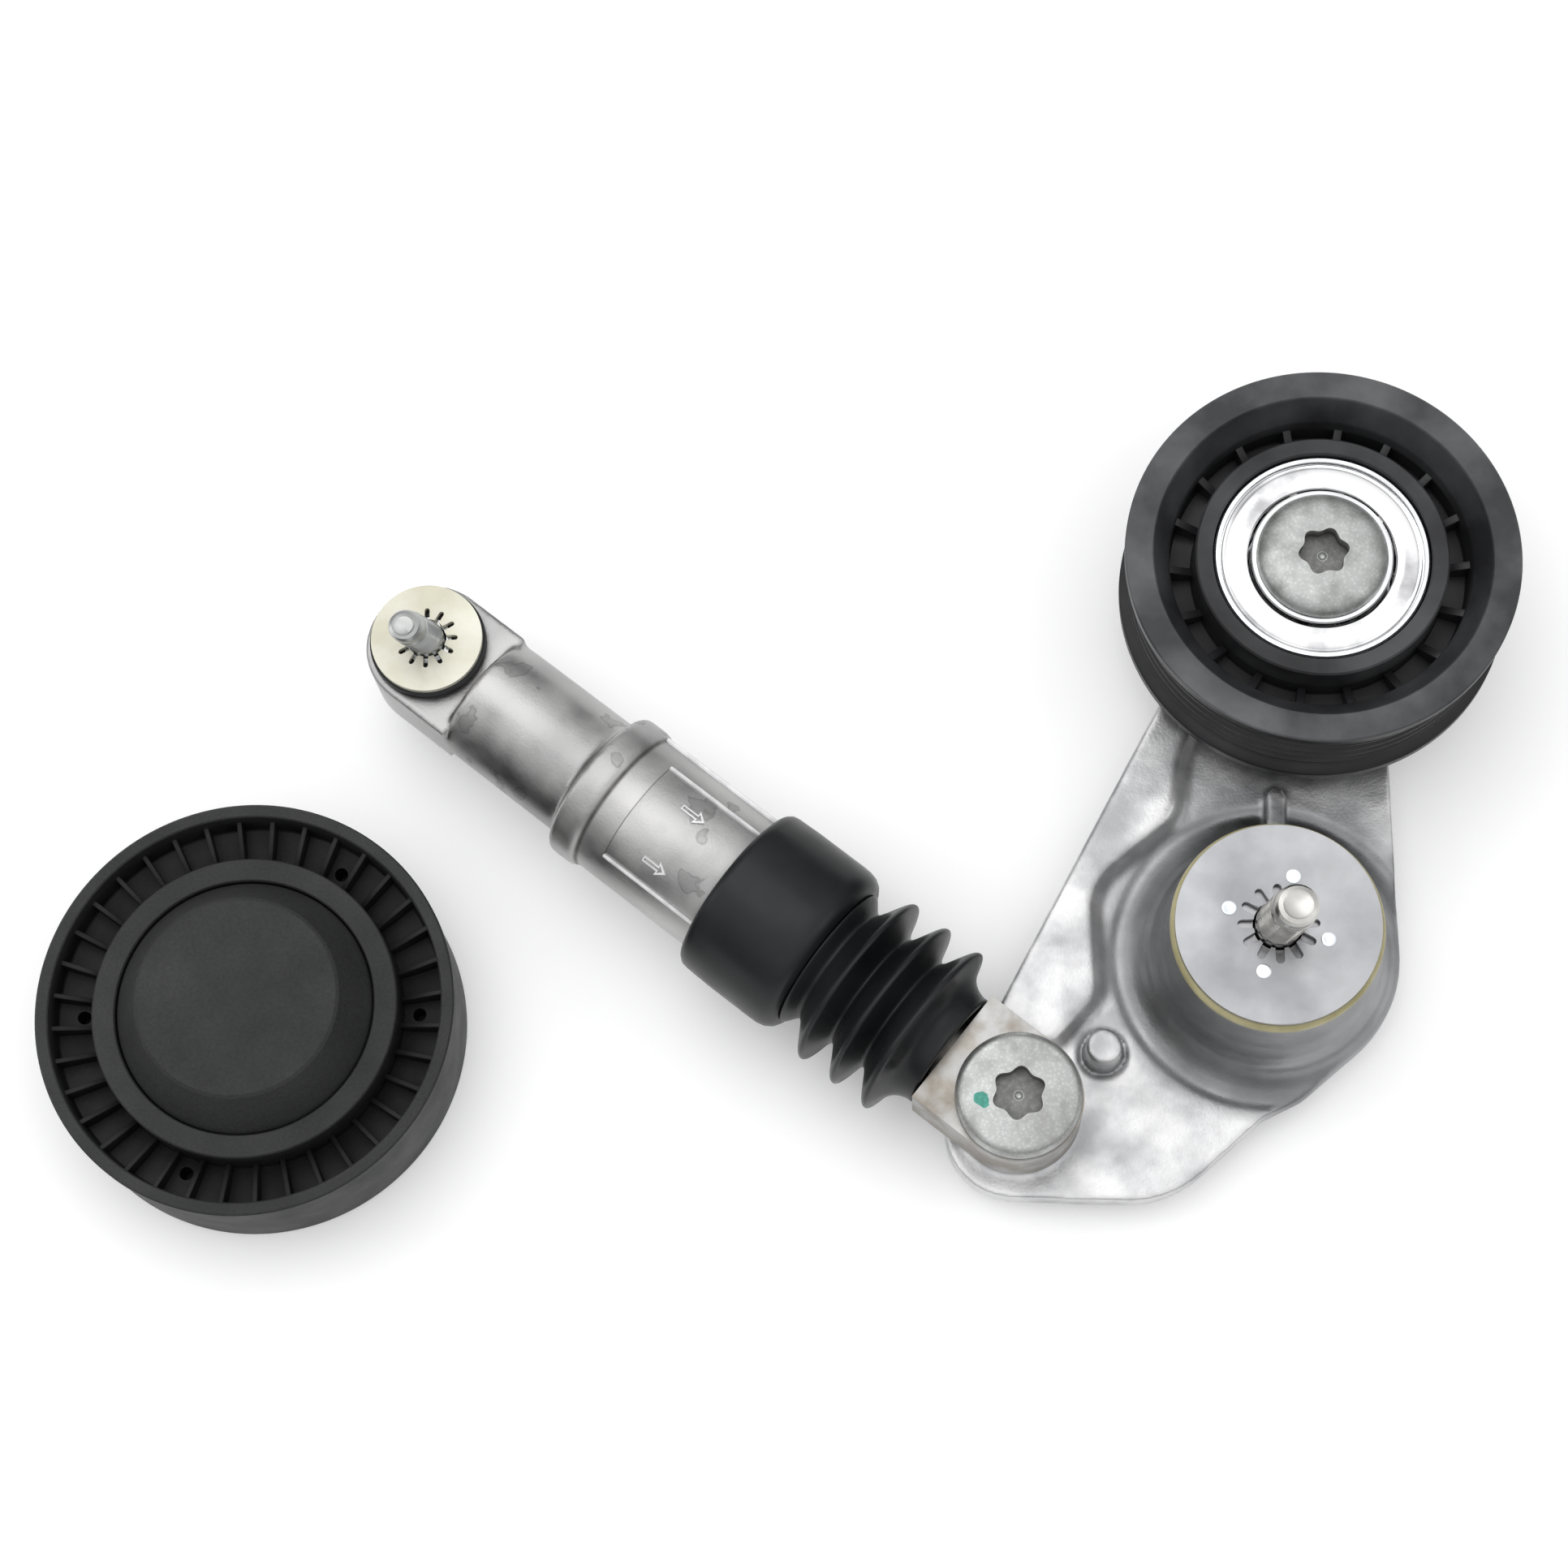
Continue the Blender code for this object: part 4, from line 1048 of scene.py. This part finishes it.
spring_turns, turn_points = 9, 24
spring_start, spring_end, spring_radius, wire_radius = 0.0278, 0.1124, 0.0116, 0.0010
wire_path = bpy.data.curves.new("coil_spring_path", "CURVE")
wire_path.dimensions = "3D"
wire_path.bevel_depth = wire_radius
wire_path.bevel_resolution = 2
wire_path.use_fill_caps = True
helix = wire_path.splines.new("POLY")
helix_points = spring_turns * turn_points + 1
helix.points.add(helix_points - 1)
for k, point in enumerate(helix.points):
    angle = 2 * math.pi * k / turn_points
    height = spring_start + (spring_end - spring_start) * k / (helix_points - 1)
    point.co = (spring_radius * math.cos(angle), spring_radius * math.sin(angle), height, 1)
spring = bpy.data.objects.new("coil_spring", wire_path)
bpy.context.scene.collection.objects.link(spring)
only(spring)
bpy.ops.object.convert(target="MESH")
spring = laid(smooth(closed(bpy.context.object), 60))
spring_wire = finish_of("spring_wire", (0.30, 0.30, 0.31), 1.0, 0.34)
clouded(spring_wire, (0.20, 0.20, 0.21), (0.38, 0.38, 0.39), (0.26, 0.44), scales=(260, 300, 1500))
clothe(spring, spring_wire)
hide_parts("strut_spring")
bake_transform(spring)

# --- Rubber boot ---------------------------------------------------------------------------------
# One moulding of black rubber keeps dirt off the rod: a skirt at the eye block, three thin pleats in one
# fixed shape, and a thick cuff, rounded at both ends, gripping the cylinder.


def rubber(name):
    """Black rubber with a faint bloom and a fine moulded skin."""
    made = finish_of(name, (0.020, 0.022, 0.023), 0.0, 0.42)
    made.node_tree.nodes["Principled BSDF"].inputs["Specular IOR Level"].default_value = 0.24
    dress(
        made,
        shades(made, grain(made, 42, 6), (0.0065, 0.0072, 0.0078), (0.017, 0.0182, 0.019), 0.34, 0.70),
        spread(made, grain(made, 70, 6), 0.24, 0.42),
        [(grain(made, 240, 4), 0.10, 0.0001), (grain(made, 1700, 3), 0.12, 0.00004)],
    )
    return made


pleat_profile = [
    (0.0173, 0.0521), (0.0170, 0.0516), (0.0156, 0.0506), (0.0145, 0.0497), (0.0140, 0.0489),
    (0.0147, 0.0480), (0.0178, 0.0461), (0.0202, 0.0446), (0.0209, 0.0439), (0.0210, 0.0432),
    (0.0205, 0.0429), (0.0182, 0.0423), (0.0157, 0.0414), (0.0143, 0.0405), (0.0140, 0.0398),
    (0.0147, 0.0390), (0.0178, 0.0372), (0.0202, 0.0358), (0.0209, 0.0351), (0.0210, 0.0344),
    (0.0205, 0.0341), (0.0182, 0.0335), (0.0157, 0.0327), (0.0143, 0.0319), (0.0140, 0.0312),
    (0.0148, 0.0303), (0.0180, 0.0285), (0.0203, 0.0270), (0.0209, 0.0263), (0.0210, 0.0256),
    (0.0205, 0.0253), (0.0186, 0.0248), (0.0164, 0.0240), (0.0148, 0.0226), (0.0139, 0.0207),
    (0.0136, 0.0192), (0.0138, 0.0186), (0.0134, 0.0183), (0.0122, 0.0183),
]
boot_wall = 0.0012
boot_inside = [
    (max(radius - boot_wall, 0.0108), height) for radius, height in reversed(pleat_profile[:-1])
]
boot = laid(turned("boot_pleats", pleat_profile + boot_inside, (0, 0), 96))
applied(boot, "SUBSURF", levels=1, render_levels=1)
only(boot)
bpy.ops.object.shade_smooth()
clothe(boot, rubber("boot_rubber"))
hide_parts("boot_bellows")
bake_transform(boot)

cuff_profile = [
    (0.0176, 0.0779), (0.0188, 0.0780), (0.0197, 0.0777), (0.0203, 0.0769), (0.0205, 0.0757),
    (0.0207, 0.0700), (0.0207, 0.0578), (0.0206, 0.0560), (0.0202, 0.0544), (0.0194, 0.0532),
    (0.0183, 0.0525), (0.0166, 0.0523), (0.0148, 0.0523), (0.0148, 0.0544), (0.0173, 0.0544),
    (0.0173, 0.0775),
]
cuff = laid(smooth(turned("boot_cuff_band", cuff_profile, (0, 0), 128), 50))
clothe(cuff, rubber("cuff_rubber"))
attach(cuff, "strut_cylinder")
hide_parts("boot_cuff")
seal_black = rubber("guide_rubber")
for node in ("rod_guide", "upper_eye_bush"):
    better(node, seal_black)

# --- Cylinder casting ----------------------------------------------------------------------------
# An aluminium casting in three steps: a wide barrel, a rounded collar and a slimmer neck that ends in
# a flat ear. The barrel carries a raised pad between two bright lines, two arrows towards the boot and
# a third line further round.

barrel_profile = [
    (0, 0.1504), (0.0132, 0.1504), (0.0141, 0.1500), (0.0145, 0.1490), (0.0146, 0.1460),
    (0.0147, 0.1195), (0.0149, 0.1183), (0.0158, 0.1178), (0.0171, 0.1174), (0.0178, 0.1168),
    (0.0180, 0.1158), (0.0180, 0.1120), (0.0178, 0.1108), (0.0172, 0.1101), (0.0170, 0.1094),
    (0.0170, 0.0548), (0, 0.0548),
]
cylinder = laid(turned("cylinder_casting", barrel_profile, (0, 0), 160))
ear_start, ear_middle, ear_half_width = 0.1496, 0.1657, 0.0143
ear_low, ear_high = 0.0140, 0.0300
ear = flat("cylinder_ear", [tongue(ear_start, ear_middle, ear_half_width)], ear_low, ear_high)
ear.data.transform(beside_eye)
softened(ear, 0.0006, 3, 40)
cut(cylinder, ear, "UNION")
cut(cylinder, laid(rod("spring_bore", 0.0140, 0.0500, 0.1140, (0, 0), 96)))
cut(cylinder, rod("ear_bore", 0.0073, 0, 0.05, top_axis, 64))
cast_skin(cylinder, 0.00056, 3)


def wrapped(piece, radius):
    """Bend a flat piece, drawn as (round, along, out), about the strut's axis."""
    for vertex in piece.data.vertices:
        turn = vertex.co.x / radius
        out = radius + vertex.co.z
        vertex.co = (out * math.cos(turn), out * math.sin(turn), vertex.co.y)
    return laid(piece)


barrel = 0.0170


def strip_on_barrel(name, first, last, low, high, rise, bevel=0.00015):
    """A raised patch on the barrel between two angles and two distances."""
    wide = math.radians(last - first) * barrel
    middle_place = (math.radians((first + last) / 2) * barrel, (low + high) / 2, (rise - 0.0010) / 2)
    bpy.ops.object.select_all(action="DESELECT")
    patch_size = (wide, high - low, rise + 0.0010)
    bpy.ops.mesh.primitive_cube_add(size=1, location=middle_place, scale=patch_size)
    patch = bpy.context.object
    patch.name = name
    bpy.ops.object.transform_apply(location=True, rotation=True, scale=True)
    applied(patch, "BEVEL", width=bevel, segments=2)
    cuts = max(1, int((last - first) / 3))
    for k in range(1, cuts):
        plane_x = math.radians(first + (last - first) * k / cuts) * barrel
        only(patch)
        bpy.ops.object.mode_set(mode="EDIT")
        bpy.ops.mesh.select_all(action="SELECT")
        bpy.ops.mesh.bisect(plane_co=(plane_x, 0, 0), plane_no=(1, 0, 0))
        bpy.ops.object.mode_set(mode="OBJECT")
    return smooth(wrapped(patch, barrel), 40)


pad_first, pad_last, pad_low, pad_high = 38.0, 122.5, 0.0775, 0.1031
line_wide, line_rise, line_bevel = 2.4, 0.0009, 0.0003
line_shape = (pad_low, pad_high + 0.0002, line_rise, line_bevel)
trims = [
    strip_on_barrel("barrel_pad", pad_first, pad_last, pad_low, pad_high, 0.00035),
    strip_on_barrel("pad_line_left", pad_first - line_wide, pad_first, *line_shape),
    strip_on_barrel("pad_line_right", pad_last, pad_last + line_wide, *line_shape),
    strip_on_barrel("side_line", 153.0, 155.6, pad_low, 0.1098, line_rise, line_bevel),
]
arrow_outline = [
    (0.0000, -0.0031), (0.0017, -0.0007), (0.0006, -0.0009), (0.0006, 0.0031), (-0.0006, 0.0031),
    (-0.0006, -0.0009), (-0.0017, -0.0007),
]
inner_outline = [
    (0.0000, -0.0023), (0.0009, -0.0011), (0.0003, -0.0012), (0.0003, 0.0028), (-0.0003, 0.0028),
    (-0.0003, -0.0012), (-0.0009, -0.0011),
]
arrow_along, arrow_rise = 0.0918, 0.0008
for name, angle in (("upper_arrow", 102.6), ("lower_arrow", 56.1)):
    middle_x = math.radians(angle) * barrel
    outlines = (arrow_outline, inner_outline)
    loops = [[(middle_x + x, arrow_along + y) for x, y in outline] for outline in outlines]
    trims.append(smooth(wrapped(flat(name, loops, -0.0002, arrow_rise), barrel)))

stained_cast = finish_of("stained_cast_aluminium", (0.46, 0.465, 0.47), 1.0, 0.36)
skin = shades(
    stained_cast, grain(stained_cast, 60, 5), (0.31, 0.315, 0.32), (0.49, 0.495, 0.50), 0.34, 0.62,
)
along = reach_along(stained_cast, strut_along)
across = reach_along(stained_cast, strut_across)
along_zero, across_zero = strut_along.dot(strut_start), strut_across.dot(strut_start)


def band(made, value, low, high, soft):
    """One between two values, fading out over a soft edge."""
    return joined(
        made,
        spread(made, value, 0.0, 1.0, low - soft, low),
        spread(made, value, 1.0, 0.0, high, high + soft),
    )


# A thin dark line in the collar's groove and along the pad's top edge: painted shadow.
in_seam = band(stained_cast, along, along_zero + 0.1096, along_zero + 0.1099, 0.0006)
in_pad_edge = joined(
    stained_cast, band(stained_cast, along, along_zero + 0.1032, along_zero + 0.1033, 0.0002),
    joined(
        stained_cast, band(stained_cast, across, across_zero - 0.0093, across_zero + 0.0136, 0.0002),
        spread(stained_cast, height_of(stained_cast), 0.0, 0.7, 0.0290, 0.0300),
    ),
)
groove_painted_shade = shades(stained_cast, grain(stained_cast, 400, 3), (0.09, 0.09, 0.088), (0.15, 0.15, 0.147))
skin = mixed(stained_cast, in_pad_edge, mixed(stained_cast, in_seam, skin, groove_painted_shade), groove_painted_shade)
blot = grain(stained_cast, 90, 3)
blot_ramp = part_node(stained_cast, "ShaderNodeValToRGB")
for place in (0.61, 0.63, 0.65):
    blot_ramp.color_ramp.elements.new(place)
for element, (place, shade) in zip(
    blot_ramp.color_ramp.elements, [(0.0, 1.0), (0.615, 1.0), (0.630, 0.66), (0.650, 0.84), (1.0, 0.74)]
):
    element.position = place
    element.color = (shade, shade * 0.985, shade * 0.96, 1)
stained_cast.node_tree.links.new(blot, blot_ramp.inputs["Fac"])
dress(
    stained_cast,
    mixed(stained_cast, 1.0, skin, blot_ramp.outputs["Color"], "MULTIPLY"),
    spread(stained_cast, grain(stained_cast, 120, 5), 0.32, 0.48),
    [(grain(stained_cast, 1700, 3), 0.45, 0.00008), (grain(stained_cast, 300, 4), 0.22, 0.00015)],
)
# The raised lines and arrows get a pale finish: a painted highlight along them.
painted_highlight_edge = finish_of("painted_highlight_cast_edge", (0.90, 0.90, 0.90), 0.35, 0.40)
clouded(painted_highlight_edge, (0.66, 0.66, 0.66), (0.82, 0.82, 0.82), (0.32, 0.48), at=(0.34, 0.60))
clothe(cylinder, stained_cast)
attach(cylinder, "strut_cylinder")
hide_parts("cylinder_housing")
for trim in trims:
    clothe(trim, stained_cast if trim.name == "barrel_pad" else painted_highlight_edge)
    trim.parent = cylinder

# --- Upper eye: seal, sleeve, washer and bolt ----------------------------------------------------
# A black rubber seal stands on the ear round the steel sleeve. A pale zinc star washer, lightly
# yellowed, keeps the bolt in place; the bolt's threaded end stands clear above it.

seal_profile = [
    (0.0057, 0.0303), (0.0124, 0.0303), (0.0129, 0.0306), (0.0130, 0.0313), (0.0127, 0.0317),
    (0.0127, 0.0320), (0.0130, 0.0323), (0.0129, 0.0330), (0.0125, 0.0332), (0.0057, 0.0332),
]
seal = smooth(turned("ear_seal", seal_profile, top_axis), 50)
clothe(seal, rubber("seal_rubber"))
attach(seal, "strut_cylinder")
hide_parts("upper_eye_seal")

top_sleeve_profile = [
    (0.0054, 0.0332), (0.0054, 0.0137), (0.0107, 0.0137), (0.0110, 0.0134), (0.0110, 0.0093),
    (0.0107, 0.0090), (0.0043, 0.0090), (0.0043, 0.0332),
]
top_sleeve = smooth(turned("top_flanged_sleeve", top_sleeve_profile, top_axis, 72))
turned_face(top_sleeve, "top_sleeve_steel", (0.74, 0.75, 0.76), (0.60, 0.61, 0.62), top_axis)
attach(top_sleeve, "top_hardware")
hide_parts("top_sleeve")

top_low, top_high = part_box("top_washer")
top_loops = [circle(top_axis, 0.0124, 96), star_loop(top_axis, 0.0044, 0.0070, 12, 0.00055)]
top_washer = softened(flat("top_star_washer", top_loops, top_low.z, top_high.z), 0.00016, 2, 60)
ivory = finish_of("pale_zinc", (0.84, 0.82, 0.70), 0.35, 0.42)
dress(
    ivory,
    shades(ivory, grain(ivory, 100, 6), (0.56, 0.54, 0.43), (0.74, 0.73, 0.63), 0.34, 0.62),
    spread(ivory, grain(ivory, 200, 4), 0.36, 0.50),
    [(grain(ivory, 800, 4), 0.14, 0.00006)],
)
clothe(top_washer, ivory)
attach(top_washer, "top_hardware")
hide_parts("top_washer")

top_bolt_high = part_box("top_bolt")[1]
top_profile = stud_profile(0.0040, top_bolt_high.z, 0.0355, top_bolt_high.z - 0.0034, 0.0010)
top_profile += [
    (0.0040, 0.0087), (0.0086, 0.0087), (0.0091, 0.0084), (0.0092, 0.0075), (0.0086, 0.0070),
    (0.0072, 0.0066), (0.0070, 0.0012), (0.0066, 0.0010), (0.0040, 0.0010), (0.0038, 0.0045),
    (0, 0.0047),
]
top_stud = turned("top_stud", top_profile, top_axis, 72)
threaded(top_stud, top_axis, 0.0040, 0.0358, top_bolt_high.z - 0.0036, 0.0010, 0.00050)
leaning(top_stud, 0.0352, top_bolt_high.z, (-0.0030, -0.0020))
smooth(top_stud, 28)
turned_face(
    top_stud, "top_zinc_stud", (0.52, 0.53, 0.52), (0.34, 0.35, 0.34), top_axis,
    metallic=0.95, roughness=(0.30, 0.46),
)
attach(top_stud, "top_hardware")
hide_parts("top_bolt")

# --- Loose idler pulley --------------------------------------------------------------------------
# A smooth pulley of matt black plastic. Between its rim and its hub lies a deep ring of thirty-six
# thin ribs over a sloping web with four small holes; a snap-in dust cap, coned up to a flat, covers
# the bearing and its sleeve.

idler_low, idler_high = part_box("idler_rim")
idler_radius = (idler_high.x - idler_low.x) / 2
idler_profile = [
    (0.0456, idler_high.z), (idler_radius, 0.0256), (idler_radius, 0.0228), (0.04575, 0.0224),
    (0.0456, 0.0221), (0.0456, 0.0008), (0.0454, 0.0003), (0.0449, 0), (0.0426, 0), (0.0424, 0.0003),
    (0.0424, 0.0088), (0.0422, 0.0090), (0.0246, 0.0090), (0.0244, 0.0088), (0.0244, 0.0043),
    (0.0241, 0.0040), (0.0189, 0.0040), (0.0186, 0.0043), (0.0186, 0.0057), (0.0203, 0.0057),
    (0.0203, 0.0186), (0.0284, 0.0186), (0.0284, 0.0257), (0.0287, idler_high.z),
    (0.0332, idler_high.z), (0.0335, 0.0257), (0.0337, 0.0160), (0.0339, 0.0158), (0.0424, 0.0175),
    (0.0427, 0.0178), (0.0431, 0.0257), (0.0434, idler_high.z),
]
idler = smooth(turned("idler_pulley_shell", idler_profile, idler_axis, 192), 24)
spokes(
    idler, "idler_rib", 36, idler_axis,
    place=(0.0384, 0, 0.0186), size=(0.0098, 0.0011, 0.0048), slope=(0.0016, -0.0018),
    bevel=0.00025, half_step=0.5,
)
vent_turns, vent_reach, vent_radius = (-110, 0, 60, 180), 0.0372, 0.0015
for turn in vent_turns:
    cut(idler, rod("vent_hole", vent_radius, 0.0100, 0.0200, beside(idler_axis, vent_reach, turn), 32))
smooth(idler, 24)

matt_plastic = finish_of("idler_plastic", (0.022, 0.022, 0.023), 0.0, 0.60)
matt_plastic.node_tree.nodes["Principled BSDF"].inputs["Specular IOR Level"].default_value = 0.30
# The ribbed recess below the rim is painted darker: painted shade.
recess_painted_shade_mask = joined(
    matt_plastic, spread(matt_plastic, height_of(matt_plastic), 1.0, 0.0, 0.0215, 0.0252),
    spread(matt_plastic, distance_from(matt_plastic, idler_axis), 1.0, 0.0, 0.0433, 0.0437),
)
fine = grain(matt_plastic, 1500, 4)
dress(
    matt_plastic,
    mixed(
        matt_plastic, 1.0,
        mixed(
            matt_plastic, recess_painted_shade_mask,
            shades(
                matt_plastic, grain(matt_plastic, 30, 6),
                (0.019, 0.0195, 0.020), (0.030, 0.0305, 0.031), 0.34, 0.66,
            ),
            shades(
                matt_plastic, grain(matt_plastic, 110, 5),
                (0.004, 0.004, 0.004), (0.013, 0.013, 0.013), 0.34, 0.66,
            ),
        ),
        shades(matt_plastic, fine, (0.80, 0.80, 0.80), (1.2, 1.2, 1.2), 0.30, 0.72), "MULTIPLY",
    ),
    spread(matt_plastic, grain(matt_plastic, 90, 5), 0.50, 0.66),
    [(fine, 0.45, 0.00008), (grain(matt_plastic, 220, 4), 0.08, 0.0001)],
)
clothe(idler, matt_plastic)
for piece in idler.children:
    clothe(piece, matt_plastic)
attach(idler, "idler_wheel")
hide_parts("idler_rim")

cap_profile = [
    (0, 0.0350), (0.0208, 0.0350), (0.0216, 0.03488), (0.0223, 0.0344), (0.0270, 0.0266),
    (0.0277, 0.0257), (0.0281, 0.0247), (0.0281, 0.0225), (0.0270, 0.0190), (0.0254, 0.0190),
    (0.0254, 0.0256), (0.0207, 0.0332), (0, 0.0332),
]
cap = smooth(turned("dust_cap", cap_profile, idler_axis, 160), 20)
clothe(cap, matt_plastic)
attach(cap, "idler_wheel")
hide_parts("idler_dust_cap")

outer_ring, inner_ring = bearing_rings(
    "idler", idler_axis,
    outer=0.0200, bore=0.0085, low=0.0060, high=0.0180, pitch=0.0143, ball_radius=0.0030,
)
for ring, body, node in (
    (outer_ring, "idler_wheel", "idler_bearing_outer"),
    (inner_ring, "idler_core", "idler_bearing_inner"),
):
    turned_face(
        ring, ring.name + "_steel", (0.80, 0.81, 0.82), (0.68, 0.69, 0.70), idler_axis,
        roughness=(0.12, 0.2),
    )
    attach(ring, body)
    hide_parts(node)
idler_seal = rubber("idler_seal_rubber")
for side in ("upper", "lower"):
    better(f"idler_shield_{side}", idler_seal)
idler_sleeve_profile = [
    (0.0082, 0.0183), (0.0082, 0.0057), (0.0107, 0.0057), (0.0110, 0.0054), (0.0110, 0.0023),
    (0.0107, 0.0020), (0.0056, 0.0020), (0.0053, 0.0023), (0.0053, 0.0183),
]
idler_sleeve = smooth(turned("idler_stepped_sleeve", idler_sleeve_profile, idler_axis, 72))
turned_face(idler_sleeve, "idler_sleeve_steel", (0.74, 0.75, 0.76), (0.60, 0.61, 0.62), idler_axis)
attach(idler_sleeve, "idler_core")
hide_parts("idler_sleeve")
